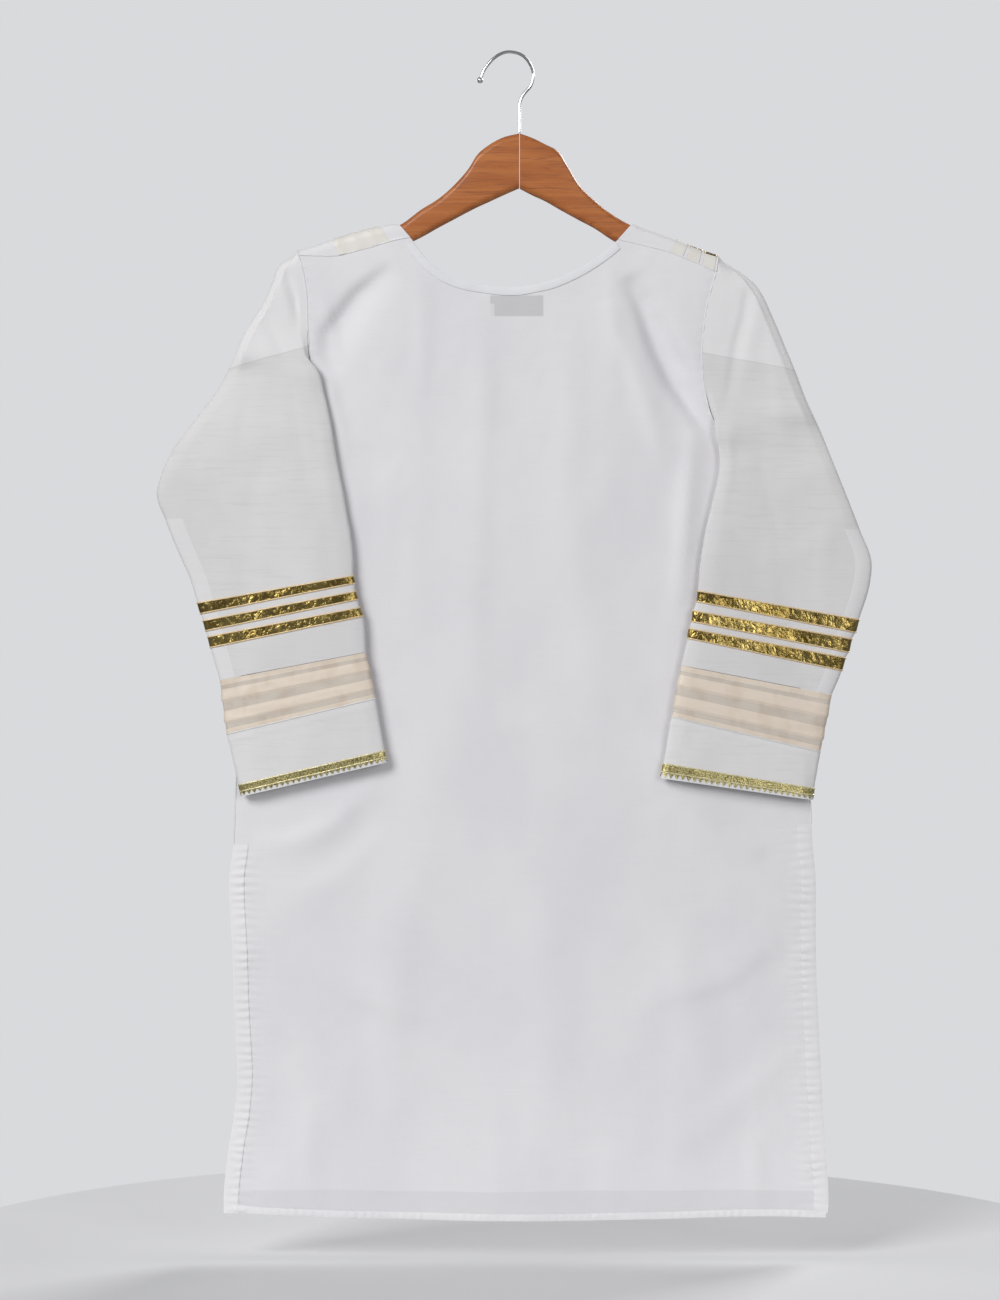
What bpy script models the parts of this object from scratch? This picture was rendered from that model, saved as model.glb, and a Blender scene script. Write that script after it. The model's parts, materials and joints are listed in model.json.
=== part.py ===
"""A sheer-sleeved kurta tunic that hangs on a wooden hanger, shown from behind.

The frame: the origin is the inner top of the hook, +Z is up, +X is to the right as the
garment's back is seen, and the back faces -Y. Tables are in millimetres and give places
as x and as drop, the distance below the origin.
"""
import math
from bisect import bisect_right

import bmesh
import bpy
from mathutils import Vector

MM = 0.001

# Cloth, trims and clearances
WALL = 1.2
TRIM_WALL = 0.8
SEAM_GAP = 0.4
TRIM_GAP = 0.35
UNDERARM_GAP = 1.6
SLEEVE_CLEAR = 3.2
FOLD_ROOM = 1.15
ROLL = 8.0
ROLL_FALLS = (0.0, ROLL * 0.134, ROLL * 0.5, ROLL)
HANGER_HALF = 6.0
HANGER_CORNER = 7.0
HANGER_TIP_SHARE = 0.6
SHOULDER_HALF = 6.9
UNDERARM_DROP = 402
HEM_STEPS_BACK = 17
HEM_STEPS_FRONT = 7
SHOULDER_STEPS = 6
EVENING = 0.25
NECK_STEPS_BACK = 12
NECK_STEPS_FRONT = 6
# Neck binding: distances of its edges from the neckline, its points and its gap
NECK_BAND = (1.0, 8.0)
NECK_BAND_STEPS = 14
NECK_BAND_GAP = 0.5

# Shoulder folds, shoulder seams on the back, and both necklines: x, drop
FOLD_LEFT = ((-204, 190), (-193, 187), (-175, 181), (-156, 175), (-134, 169), (-108, 164))
FOLD_RIGHT = ((118, 164), (125, 167), (153, 177), (185, 190), (200, 195))
SEAM_LEFT = ((-203, 195), (-171, 196), (-143, 190), (-107, 180), (-96, 178))
SEAM_RIGHT = ((104, 180), (125, 185), (149, 191), (173, 200), (198, 211))
NECK_BACK = ((-96, 178), (-78, 201), (-56, 216), (-35, 222), (1, 226), (33, 221), (61, 210),
             (87, 194), (104, 180))
NECK_FRONT = ((-108, 164), (-99, 190), (-84, 222), (-58, 256), (-28, 276), (5, 284), (38, 276),
              (68, 256), (94, 222), (109, 190), (118, 164))

# Sides of the body below the underarm: drop, left x, right x
BODY_SIDES = (
    (402, -238, 240),
    (430, -245, 248),
    (488, -252, 259),
    (574, -257, 274),
    (690, -263, 287),
    (762, -266, 291),
    (799, -270, 294),
    (864, -267, 294),
    (922, -265, 296),
    (983, -262, 299),
    (1022, -265, 301),
    (1052, -270, 303),
    (1104, -275, 306),
    (1122, -275, 305),
)
HEM = ((-275, 1110), (-259, 1115), (-202, 1118), (-106, 1120), (10, 1122), (144, 1120),
       (240, 1118), (305, 1120))

# Half depth of the hanging body at its middle and at its side edges: drop, half depth
FULL_DEPTH = ((160, 8.5), (230, 9.5), (402, 12), (700, 14), (1122, 13))
EDGE_DEPTH = ((190, 6.9), (300, 7.2), (370, 4.8), (402, 0.75), (770, 0.75), (1122, 3))

# Main folds of the back: x and drop at both ends, half width, height
BACK_FOLDS = (
    (128, 232, 203, 372, 13, -3.2),
    (169, 350, 160, 560, 11, 1.8),
    (-130, 226, -186, 312, 15, -2.8),
    (-155, 330, -144, 560, 12, 1.8),
    (-120, 690, -215, 770, 16, 2.0),
    (60, 420, 110, 800, 22, 1.8),
    (-60, 500, -90, 900, 24, 1.6),
)
FRONT_FOLDS = (
    (-60, 420, -100, 980, 26, 2.0),
    (90, 450, 130, 1000, 26, 2.0),
)

# Sleeve heads, where the sleeve is sewn into the armhole. The lap is the angle by which
# the sleeve has turned from the armhole's edge onto the back, and half is half the
# sleeve's thickness at its inner fold: drop, armhole, inner fold, outer edge, lap, half
LEFT_HEAD = (
    (195, -203, -203, -204, 0, 7.0),
    (205, -200, -205, -222, 0, 7.0),
    (220, -197, -203, -228.5, 0, 7.2),
    (238, -195, -202, -236, 0, 7.4),
    (257, -194.5, -202, -248, 0, 7.5),
    (275, -193.5, -200, -258.5, 20, 9.5),
    (292, -192, -196, -265.5, 45, 12.5),
    (307, -191.5, -184, -272, 90, 4.0),
    (325, -194.5, -179, -281.5, 90, 4.0),
    (345, -200.5, -174, -296.5, 90, 4.5),
    (364, -208, -170.5, -311, 90, 5.0),
    (384, -222, -167.5, -325, 90, 5.0),
    (402, -238, -164, -333, 90, 5.0),
)
RIGHT_HEAD = (
    (211, 198, 198, 200, 0, 7.0),
    (221, 195, 200, 235, 0, 7.0),
    (234, 191.5, 198, 244, 0, 7.2),
    (249, 188, 196, 251, 0, 7.4),
    (265, 186, 194, 258, 0, 7.5),
    (282, 184.5, 193, 265, 0, 7.5),
    (299, 184.5, 193, 272, 0, 7.5),
    (315, 185.5, 193, 278, 0, 7.5),
    (331, 188.5, 195.0, 284, 20, 8.5),
    (348, 193, 197, 291.5, 45, 11.0),
    (365, 202, 196.5, 299, 90, 4.0),
    (384, 217, 200.5, 306.5, 90, 4.0),
    (402, 240, 200.5, 313.5, 90, 5.0),
)

# Sleeves below the underarm, one row for each line across: outer x, outer drop, inner x,
# inner drop. The last seven rows are both edges of three ribbons and the insertion's seam.
LEFT_ARM = (
    (-339, 426, -160, 422),
    (-331, 449, -156.5, 442),
    (-319, 479, -152, 467),
    (-306, 509, -150, 490),
    (-300, 529.5, -150, 503.5),
    (-297, 539.5, -149, 510.5),
    (-294.5, 546.5, -148, 518.5),
    (-292, 556, -146, 526),
    (-290, 562, -144, 534),
    (-287.5, 572, -141, 542),
    (-278.5, 603, -138, 576.5),
)
RIGHT_ARM = (
    (324, 428, 195.5, 426),
    (336, 459, 188.5, 455),
    (347, 489, 184, 480),
    (345, 513, 181.5, 499),
    (335, 545.5, 180, 518),
    (331.5, 557.5, 179, 528),
    (328, 564, 175.5, 537),
    (325, 576.5, 174, 547),
    (322, 582, 171.5, 554),
    (318.5, 594, 170, 563),
    (309, 617, 164, 589),
)
FIRST_RIBBON_ROW = 17
RIBBONS = 3

# Cuffs: the insertion's lower seam and the hem: outer x, outer drop, inner x, inner drop
LEFT_CUFF = ((-272, 655, -129, 620.5), (-257.5, 715, -118, 682))
RIGHT_CUFF = ((298, 672, 155, 638), (290.5, 718.5, 144, 697))
# The insertion's tucks: share of its height, lift of the outer side
TUCKS = ((0.0, 0), (0.2, 0), (0.38, 0.9), (0.41, 0), (0.6, 0), (0.78, 0.9), (0.81, 0), (1.0, 0))
LACE_RISE = 11.0
LACE_BAND = 6.0
PICOT = 4.0
PICOT_PITCH = 8.0
SEAM_SHARE = 0.58
LAP_STEPS = 4
SHOW_STEPS = 10
HIDDEN_STEPS = 5
# Rounding of a flattened sleeve at its edges: distance from the edge, share of the half depth
ENDS = ((0.0, 0.0), (1.3, 0.45), (8.0, 0.85))

# Hanger: x, drop of the upper edge, drop of the lower edge; the cloth gives the upper
# edge beyond the neck
HANGER_LEFT = (
    (8.9, 77, 130), (-7, 81, 137), (-20, 88, 143), (-31, 97, 148), (-40, 111, 152.5),
    (-54, 127, 160), (-69, 140, 168), (-85, 150, 177), (-107, 165.6, 187), (-134, 170.5, 197),
    (-162, 178.4, 205), (-184, 185.6, 209), (-190, 189.5, 206),
)
HANGER_RIGHT = (
    (9.5, 77, 130.5), (22, 81.5, 137), (33, 87, 142), (47, 95, 150), (56, 109, 155),
    (67, 127, 161), (82, 142, 169), (97, 154, 179), (117, 165.6, 190), (138, 173, 199),
    (160, 181.3, 208), (186, 192, 215), (193, 196.5, 212),
)
HOOK = ((-28, 23.5), (-25, 16), (-18, 7), (-9.5, 0.6), (0, -1.5), (11, 1.3), (18.5, 9), (22.3, 20),
        (20, 31), (13.5, 39), (9.6, 47), (9, 58), (9, 76.3))
WIRE_RADIUS = 1.5
TIP_RADIUS = 3.0
LABEL = (-19, 32, 234, 254)
LABEL_GAP = 0.6
LINING_TOP = 385
LINING_HEM = 1091
LINING_INSET = 44
LINING_SHARE = 0.62


# Reading the tables
def slope(points, i):
    """Slope of the smooth line at its i-th point, level where the line turns back."""
    if i == 0:
        return (points[1][1] - points[0][1]) / (points[1][0] - points[0][0])
    if i == len(points) - 1:
        return (points[i][1] - points[i - 1][1]) / (points[i][0] - points[i - 1][0])
    before = (points[i][1] - points[i - 1][1]) / (points[i][0] - points[i - 1][0])
    after = (points[i + 1][1] - points[i][1]) / (points[i + 1][0] - points[i][0])
    if before * after <= 0:
        return 0.0
    return 2 * before * after / (before + after)


def through(points, at):
    """Value at a place on the smooth line through (place, value) pairs."""
    if at <= points[0][0]:
        return points[0][1]
    if at >= points[-1][0]:
        return points[-1][1]
    i = bisect_right([p[0] for p in points], at) - 1
    span = points[i + 1][0] - points[i][0]
    f = (at - points[i][0]) / span
    start, end = points[i][1], points[i + 1][1]
    rise = slope(points, i) * span
    fall = slope(points, i + 1) * span
    return ((2 * f**3 - 3 * f**2 + 1) * start + (f**3 - 2 * f**2 + f) * rise
            + (3 * f**2 - 2 * f**3) * end + (f**3 - f**2) * fall)


def mix(a, b, share):
    return a + (b - a) * share


def spread(points, count):
    """Points evenly spaced along the smooth line, both ends included."""
    first, last = points[0][0], points[-1][0]
    fine = [mix(first, last, i / 200) for i in range(201)]
    line = [(x, through(points, x)) for x in fine]
    reach = [0.0]
    for a, b in zip(line, line[1:]):
        reach.append(reach[-1] + math.dist(a, b))
    out = []
    for i in range(count + 1):
        wanted = reach[-1] * i / count
        j = min(bisect_right(reach, wanted) - 1, len(line) - 2)
        share = (wanted - reach[j]) / (reach[j + 1] - reach[j])
        out.append((mix(line[j][0], line[j + 1][0], share), mix(line[j][1], line[j + 1][1], share)))
    return out


# The hanging form of the body, as a depth over x and drop
FOLD_LINE = FOLD_LEFT + FOLD_RIGHT
SIDE_LEFT = tuple((row[0], row[1]) for row in LEFT_HEAD[:-1]) + tuple((r[0], r[1]) for r in BODY_SIDES)
SIDE_RIGHT = tuple((row[0], row[1]) for row in RIGHT_HEAD[:-1]) + tuple((r[0], r[2]) for r in BODY_SIDES)


def fold_sum(folds, x, drop):
    """Height that the folds add at a place: each one fades out at its ends and sides."""
    total = 0.0
    for x0, drop0, x1, drop1, half_width, height in folds:
        length = math.dist((x0, drop0), (x1, drop1))
        along = ((x - x0) * (x1 - x0) + (drop - drop0) * (drop1 - drop0)) / length**2
        if 0 < along < 1:
            off = ((x - x0) * (drop1 - drop0) - (drop - drop0) * (x1 - x0)) / length
            total += height * math.sin(math.pi * along) ** 0.7 * math.exp(-(off / half_width) ** 2)
    return total


def depth(x, drop, folds=()):
    """Half depth of the body's middle surface, rounded over at the shoulder fold."""
    left, right = through(SIDE_LEFT, drop), through(SIDE_RIGHT, drop)
    share = min(max((x - left) / (right - left), 0.0), 1.0)
    crown = math.sin(math.pi * share) ** 0.8
    edge = through(EDGE_DEPTH, drop)
    out = mix(edge, through(FULL_DEPTH, drop), crown)
    out += fold_sum(folds, x, drop) * min(1.0, 4 * crown)
    below = min(max((drop - through(FOLD_LINE, x)) / ROLL, 0.0), 1.0)
    return out * math.sqrt(1 - (1 - below) ** 2)


def place(x, drop, y):
    return Vector((x, y, -drop))


def back_point(x, drop, inward=0.0):
    return place(x, drop, inward - depth(x, drop, BACK_FOLDS))


def front_point(x, drop, inward=0.0):
    return place(x, drop, depth(x, drop, FRONT_FOLDS) - inward)


# Closed bodies from single surfaces
def face_normal(points, face):
    a, b, c, d = (points[i] for i in face)
    return (c - a).cross(d - b)


def outward(points, faces):
    """Unit direction at each point, lengthened so that moved faces keep their distance."""
    normals = [face_normal(points, face) for face in faces]
    sums = [Vector() for _ in points]
    around = [[] for _ in points]
    for face, normal in zip(faces, normals):
        for i in face:
            sums[i] += normal
            around[i].append(normal.normalized())
    out = []
    for total, near in zip(sums, around):
        direction = total.normalized()
        meet = min((direction.dot(n) for n in near), default=1.0)
        out.append(direction / max(meet, 0.6))
    return out


def wall(points, faces, outer, inner):
    """Closed wall round a surface: outer and inner are distances, one or one a point."""
    ways = outward(points, faces)
    count = len(points)
    outer = outer if isinstance(outer, list) else [outer] * count
    skin = [p + way * o for p, way, o in zip(points, ways, outer)]
    skin += [p - way * inner for p, way in zip(points, ways)]
    solid = [tuple(face) for face in faces]
    solid += [tuple(i + count for i in reversed(face)) for face in faces]
    seen = {}
    for face in faces:
        for a, b in zip(face, face[1:] + face[:1]):
            seen[(a, b)] = True
    for a, b in seen:
        if (b, a) not in seen:
            solid.append((b, a, a + count, b + count))
    return skin, solid


def grid_faces(rows, columns, flip=False):
    """Quads of a grid of points kept row by row."""
    faces = []
    for r in range(rows - 1):
        for c in range(columns - 1):
            a = r * columns + c
            quad = (a, a + columns, a + columns + 1, a + 1)
            faces.append(tuple(reversed(quad)) if flip else quad)
    return faces


def tube_faces(rows, columns, flip):
    """Quads of closed rings of points kept ring by ring."""
    faces = []
    for r in range(rows - 1):
        for c in range(columns):
            a, b = r * columns + c, r * columns + (c + 1) % columns
            quad = (a, a + columns, b + columns, b)
            faces.append(tuple(reversed(quad)) if flip else quad)
    return faces


def material(name, colour, roughness, metallic=0.0):
    mat = bpy.data.materials.get(name) or bpy.data.materials.new(name)
    mat.use_nodes = True
    shader = mat.node_tree.nodes["Principled BSDF"]
    shader.inputs["Base Color"].default_value = (*colour, 1.0)
    shader.inputs["Roughness"].default_value = roughness
    shader.inputs["Metallic"].default_value = metallic
    return mat


def solid_object(name, points, faces, mat):
    """Object from points in millimetres, its quads split along their shorter diagonal."""
    mesh = bpy.data.meshes.new(name)
    mesh.from_pydata([p * MM for p in points], [], faces)
    form = bmesh.new()
    form.from_mesh(mesh)
    bmesh.ops.triangulate(form, faces=form.faces, quad_method="SHORT_EDGE")
    form.to_mesh(mesh)
    form.free()
    mesh.shade_smooth()
    mesh.set_sharp_from_angle(angle=math.radians(40))
    obj = bpy.data.objects.new(name, mesh)
    obj.data.materials.append(mat)
    bpy.context.scene.collection.objects.link(obj)
    return obj


def cloth(name, points, faces, mat, outer=WALL / 2, inner=WALL / 2):
    return solid_object(name, *wall(points, faces, outer, inner), mat)


def moved(points, ways, distance):
    return [p + way * distance for p, way in zip(points, ways)]


# Body panels
def armhole_offsets(head, top, low):
    """How far each armhole point lies from the straight line between its ends."""
    out = []
    for drop, x in head:
        share = (drop - top[1]) / (low[1] - top[1])
        out.append((share, x - mix(top[0], low[0], share)))
    return out


def panel_rows(top, left_head, right_head, hem_steps):
    """Rows of (x, drop) from the top line over the armholes to the hem."""
    left_top, right_top = top[0], top[-1]
    left_low, right_low = left_head[-1][::-1], right_head[-1][::-1]
    spans = [mix((x - left_top[0]) / (right_top[0] - left_top[0]), i / (len(top) - 1), EVENING)
             for i, (x, _) in enumerate(top)]
    left_way = armhole_offsets(left_head, left_top, left_low)
    right_way = armhole_offsets(right_head, right_top, right_low)
    rows = [list(top)]
    for (left_share, left_off), (right_share, right_off) in zip(left_way, right_way):
        row = []
        for (x, drop), span in zip(top, spans):
            share = mix(left_share, right_share, span)
            low = mix(left_low[0], right_low[0], span)
            bend = left_off * (1 - span) ** 2 + right_off * span**2
            row.append((mix(x, low, share) + bend, mix(drop, UNDERARM_DROP, share)))
        rows.append(row)
    left_hem, right_hem = HEM[0][1], HEM[-1][1]
    for step in range(1, hem_steps + 1):
        share = step / hem_steps
        row = []
        for span in spans:
            level = mix(UNDERARM_DROP, mix(left_hem, right_hem, span), share)
            x = mix(through(SIDE_LEFT, level), through(SIDE_RIGHT, level), span)
            row.append((x, mix(UNDERARM_DROP, through(HEM, x), share)))
        rows.append(row)
    return rows


def armhole(head, start):
    return tuple((row[0], row[1]) for row in head[start:])


def build_back(mat):
    """Back panel, from the shoulder seams and neckline to the hem."""
    top = spread(SEAM_LEFT, SHOULDER_STEPS)
    top += spread(NECK_BACK, NECK_STEPS_BACK)[1:]
    top += spread(SEAM_RIGHT, SHOULDER_STEPS)[1:]
    rows = panel_rows(top, armhole(LEFT_HEAD, 1), armhole(RIGHT_HEAD, 1), HEM_STEPS_BACK)
    points = [back_point(x, drop) for row in rows for x, drop in row]
    cloth("back", points, grid_faces(len(rows), len(top)), mat)


def neck_x(fall, side):
    """Where the front neckline is at a fall below the left (0) or right (1) neck point."""
    low = NECK_FRONT[-2:][::-1] if side else NECK_FRONT[:2]
    return mix(low[0][0], low[1][0], fall / (low[1][1] - low[0][1]))


def roll_row(row, fall):
    return [(x, drop + fall) for x, drop in row]


def wrap_rows(fold, seam):
    """Rows from the shoulder fold down the back side to just above the shoulder seam."""
    rows = []
    for step in range(1, 5):
        row = []
        for (x0, drop0), (x1, drop1) in zip(fold, seam):
            reach = drop1 - SEAM_GAP - drop0
            falls = (0, ROLL_FALLS[1], min(ROLL_FALLS[2], reach * 0.6), min(ROLL, reach * 0.85), reach)
            share = falls[step] / reach
            row.append((mix(x0, x1, share), drop0 + falls[step]))
        rows.append(row)
    return rows


def build_front(mat):
    """Front panel, which runs over both shoulders to the seams on the back."""
    left = spread(FOLD_LEFT, SHOULDER_STEPS)
    right = spread(FOLD_RIGHT, SHOULDER_STEPS)
    neck = spread(NECK_FRONT, NECK_STEPS_FRONT)[1:-1]
    down_left = [(neck_x(fall, 0), FOLD_LEFT[-1][1] + fall) for fall in ROLL_FALLS[1:]]
    down_right = [(neck_x(fall, 1), FOLD_RIGHT[0][1] + fall) for fall in ROLL_FALLS[1:]]
    top = left + down_left + neck + down_right[::-1] + right
    rolled = [roll_row(top, fall) for fall in ROLL_FALLS[:-1]]
    start = roll_row(top, ROLL)
    low = panel_rows(start, armhole(LEFT_HEAD, 1), armhole(RIGHT_HEAD, 1), HEM_STEPS_FRONT)
    rows = rolled + low
    columns = len(top)
    points = [front_point(x, drop) for row in rows for x, drop in row]
    faces = grid_faces(len(rows), columns, flip=True)
    strips = []
    for fold, seam, first in (
        (left, spread(SEAM_LEFT, SHOULDER_STEPS), 0),
        (right, spread(SEAM_RIGHT, SHOULDER_STEPS), columns - SHOULDER_STEPS - 1),
    ):
        above = list(range(first, first + SHOULDER_STEPS + 1))
        strip = [above]
        for row in wrap_rows(fold, seam):
            start_at = len(points)
            points += [back_point(x, drop) for x, drop in row]
            below = list(range(start_at, len(points)))
            for c in range(SHOULDER_STEPS):
                faces.append((above[c], below[c], below[c + 1], above[c + 1]))
            above = below
            strip.append(below)
        strips.append(strip)
    cloth("front", points, faces, mat)
    return points, faces, columns, len(rows), strips


def front_strip(front, side, first, last, share_in, share_out):
    """Surface over columns of the front, from a shoulder seam over the fold to the hem."""
    points, faces, columns, rows, strips = front
    ways = outward(points, faces)
    offset = 0 if side == 0 else columns - SHOULDER_STEPS - 1
    index_rows = strips[side][:0:-1]
    index_rows += [list(range(r * columns + offset, r * columns + offset + SHOULDER_STEPS + 1))
                   for r in range(rows)]
    lift = WALL / 2 + TRIM_GAP + TRIM_WALL / 2
    out = []
    for row in index_rows:
        line = [points[i] + ways[i] * lift for i in row]
        for c in range(first, last + 1):
            if c == first:
                out.append(line[c].lerp(line[c + 1], share_in))
            elif c == last:
                out.append(line[c - 1].lerp(line[c], share_out))
            else:
                out.append(line[c])
    return out, grid_faces(len(index_rows), last - first + 1, flip=True)


def neck_strip(name, line, point_of, flip, mat):
    """Narrow binding along a neckline, on the outer side of its panel."""
    edge = spread(line, NECK_BAND_STEPS)[1:-1]
    points = []
    for (x0, drop0), (x1, drop1) in ((edge[max(i - 1, 0)], edge[min(i + 1, len(edge) - 1)])
                                     for i in range(len(edge))):
        length = math.dist((x0, drop0), (x1, drop1))
        x, drop = (x0 + x1) / 2, (drop0 + drop1) / 2
        side = ((drop0 - drop1) / length, (x1 - x0) / length)
        points.append([(x + side[0] * reach, drop + side[1] * reach) for reach in NECK_BAND])
    lift = WALL / 2 + NECK_BAND_GAP + TRIM_WALL / 2
    surface = [point_of(*pair[0], -lift) for pair in points] + [point_of(*pair[1], -lift) for pair in points]
    cloth(name, surface, grid_faces(2, len(edge), flip), mat, TRIM_WALL / 2, TRIM_WALL / 2)


# Sleeves
def base_y(x, drop):
    """Middle of a layer that lies on the back, clear of it."""
    return -depth(x, drop) * FOLD_ROOM - SLEEVE_CLEAR


def shown_spots(width, rounded):
    """Distance from the inner end, and profile, of each point of the shown layer."""
    tail = [(width - reach, profile) for reach, profile in reversed(ENDS)]
    head = list(ENDS) if rounded else [(0.0, 1.0)]
    count = SHOW_STEPS + 1 - len(head) - len(tail)
    middle = [(mix(head[-1][0], tail[0][0], (i + 1) / (count + 1)), 1.0) for i in range(count)]
    return head + middle + tail


def hidden_spots(width):
    """The same from the outer end along the hidden layer, its first point left out."""
    count = HIDDEN_STEPS - len(ENDS) + 1
    return list(ENDS[1:]) + [(mix(ENDS[-1][0], width, (i + 1) / count), 1.0) for i in range(count)]


def lap_spots(width):
    """The same on the layer from the seam to the inner end, its last point left out."""
    squeeze = min(1.0, width / (2 * ENDS[-1][0]))
    ends = [(reach * squeeze, profile) for reach, profile in reversed(ENDS[1:])]
    return [(width, 1.0), ((width + ends[0][0]) / 2, 1.0)] + ends


def ring(outer, inner, half, seam_share=SEAM_SHARE):
    """Closed ring of a flattened sleeve that lies on the back."""
    (outer_x, outer_drop), (inner_x, inner_drop) = outer, inner
    seam_x = mix(outer_x, inner_x, seam_share)
    way = 1 if inner_x > outer_x else -1
    width = abs(inner_x - outer_x)
    spots = [(inner_x - way * reach, profile) for reach, profile in lap_spots(abs(inner_x - seam_x))]
    spots += [(inner_x - way * reach, -profile) for reach, profile in shown_spots(width, True)]
    spots += [(outer_x + way * reach, profile) for reach, profile in hidden_spots(abs(seam_x - outer_x))[:-1]]
    points = []
    for x, profile in spots:
        drop = mix(outer_drop, inner_drop, (x - outer_x) / (inner_x - outer_x))
        points.append(place(x, drop, base_y(x, drop) - half * (1 - profile)))
    return points


def head_row(row, side):
    """Open row of a sleeve head, from the back's armhole edge round to the front's."""
    drop, hole, inner, outer, lap, half = row
    edge = through(EDGE_DEPTH, drop)
    turn = math.radians(lap)
    lift = SEAM_GAP + 0.1 + (SLEEVE_CLEAR - SEAM_GAP - 0.1) * lap / 90
    start = (hole + side * lift * math.cos(turn), -edge - lift * math.sin(turn))
    outer_y = -7.5 * max(drop - 280, 0) / (UNDERARM_DROP - 280)
    lapped = lap == 90

    def middle(x):
        share = min((x - outer) / (hole - outer), 1.0)
        if not lapped:
            return mix(outer_y, 0, share)
        return mix(outer_y, base_y(x if share == 1.0 else hole, drop) - half, share)

    shown = [(inner + side * reach, middle(inner + side * reach) - half * profile)
             for reach, profile in shown_spots(abs(outer - inner), lapped)]
    if lapped:
        lap = [(inner + side * reach, base_y(inner + side * reach, drop) - half * (1 - profile))
               for reach, profile in lap_spots(abs(start[0] - inner))]
    else:
        lap = [tuple(mix(a, b, i / LAP_STEPS) for a, b in zip(start, shown[0])) for i in range(LAP_STEPS)]
    end = (hole + side * (SEAM_GAP + 0.1), edge)
    hidden = [(outer - side * reach, mix(shown[-1][1], end[1], profile))
              for reach, profile in hidden_spots(abs(outer - end[0]))]
    return [place(x, drop, y) for x, y in lap + shown + hidden]


def shoulder_end(head, fold_tip, side):
    """First row of a sleeve: an arc beside the front panel's end, from back to front."""
    steps = LAP_STEPS + SHOW_STEPS + HIDDEN_STEPS
    seam_drop = head[0][0]
    low_front = fold_tip[1] + ROLL
    points = []
    for i in range(steps + 1):
        share = i / steps
        if share < 0.5:
            drop = mix(seam_drop, fold_tip[1], math.sin(share * math.pi))
            x = mix(head[0][1], fold_tip[0], share * 2)
            fall = drop - fold_tip[1]
            y = -SHOULDER_HALF * math.sqrt(1 - (1 - min(fall / ROLL, 1.0)) ** 2)
        else:
            angle = (share - 0.5) * math.pi
            drop = mix(fold_tip[1], low_front, 1 - math.cos(angle))
            x = fold_tip[0]
            y = SHOULDER_HALF * math.sin(angle)
        points.append(place(x + side * (SEAM_GAP + 0.5), drop, y))
    return points


def build_sleeve(name, side, head, arm, fold_tip, mat):
    """Sleeve from the armhole to the insertion's seam; gives its points row by row."""
    rows = [shoulder_end(head, fold_tip, side)]
    rows += [head_row(row, side) for row in head[1:-1]]
    last = head[-1]
    underarm_x = last[1] + side * UNDERARM_GAP
    underarm_share = (underarm_x - last[3]) / (last[2] - last[3])
    closed = [ring((last[3], last[0]), (last[2], last[0]), last[5], underarm_share)]
    closed += [ring((row[0], row[1]), (row[2], row[3]), 5.0) for row in arm]
    width = LAP_STEPS + SHOW_STEPS + HIDDEN_STEPS
    open_count = len(rows)
    points = [p for row in rows for p in row]
    closed_start = len(points)
    points += [p for row in closed for p in row]

    def index(r, c):
        if r < open_count:
            return r * (width + 1) + c
        return closed_start + (r - open_count) * width + c % width

    faces = []
    for r in range(open_count + len(closed) - 1):
        for c in range(width):
            quad = (index(r, c), index(r + 1, c), index(r + 1, c + 1), index(r, c + 1))
            faces.append(tuple(reversed(quad)) if side < 0 else quad)
    cloth(name, points, faces, mat)
    return points, faces, index, width


def build_ribbons(name, side, sleeve, mat):
    """Three gold ribbons round the sleeve, made from its rows moved out."""
    points, faces, index, width = sleeve
    ways = outward(points, faces)
    lift = WALL / 2 + TRIM_GAP + TRIM_WALL / 2
    for number in range(RIBBONS):
        surface = []
        for r in (FIRST_RIBBON_ROW + 2 * number, FIRST_RIBBON_ROW + 2 * number + 1):
            surface += [points[index(r, c)] + ways[index(r, c)] * lift for c in range(width)]
        cloth(f"{name}_{number + 1}", surface, tube_faces(2, width, side < 0), mat,
              TRIM_WALL / 2, TRIM_WALL / 2)


def build_cap_lining(name, side, sleeve, mat):
    """Lining under the visible side of the sleeve head, where it shows through."""
    points, faces, index, _ = sleeve
    ways = outward(points, faces)
    first, last, rows = LAP_STEPS + 1, LAP_STEPS + SHOW_STEPS - 2, range(1, 7)
    surface = []
    for r in rows:
        for c in range(first, last + 1):
            i = index(r, c)
            surface.append(points[i] - ways[i] * (WALL + TRIM_GAP))
    cloth(name, surface, grid_faces(len(rows), last - first + 1, side < 0), mat,
          TRIM_WALL / 2, TRIM_WALL / 2)


def between(upper, lower, share):
    return tuple(mix(a, b, share) for a, b in zip(upper, lower))


def as_ring(row, half=5.0):
    return ring((row[0], row[1]), (row[2], row[3]), half)


def build_insertion(name, side, upper, lower, mat):
    """Cream insertion with two raised tucks between the sleeve and its cuff."""
    height = lower[1] - upper[1]
    surface, lifts = [], []
    for share, lift in TUCKS:
        share = mix(SEAM_GAP / height, 1 - SEAM_GAP / height, share)
        points = as_ring(between(upper, lower, share))
        surface += points
        lifts += [WALL / 2 + lift] * len(points)
    cloth(name, surface, tube_faces(len(TUCKS), len(points), side < 0), mat, lifts)


def build_cuff(name, side, upper, lower, mat):
    height = lower[1] - upper[1]
    surface = []
    shares = (SEAM_GAP / height, 0.5, 1 - LACE_RISE / height, 1.0)
    for share in shares:
        points = as_ring(between(upper, lower, share))
        surface += points
    faces = tube_faces(len(shares), len(points), side < 0)
    cloth(name, surface, faces, mat)
    return surface, faces, len(points)


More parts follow.
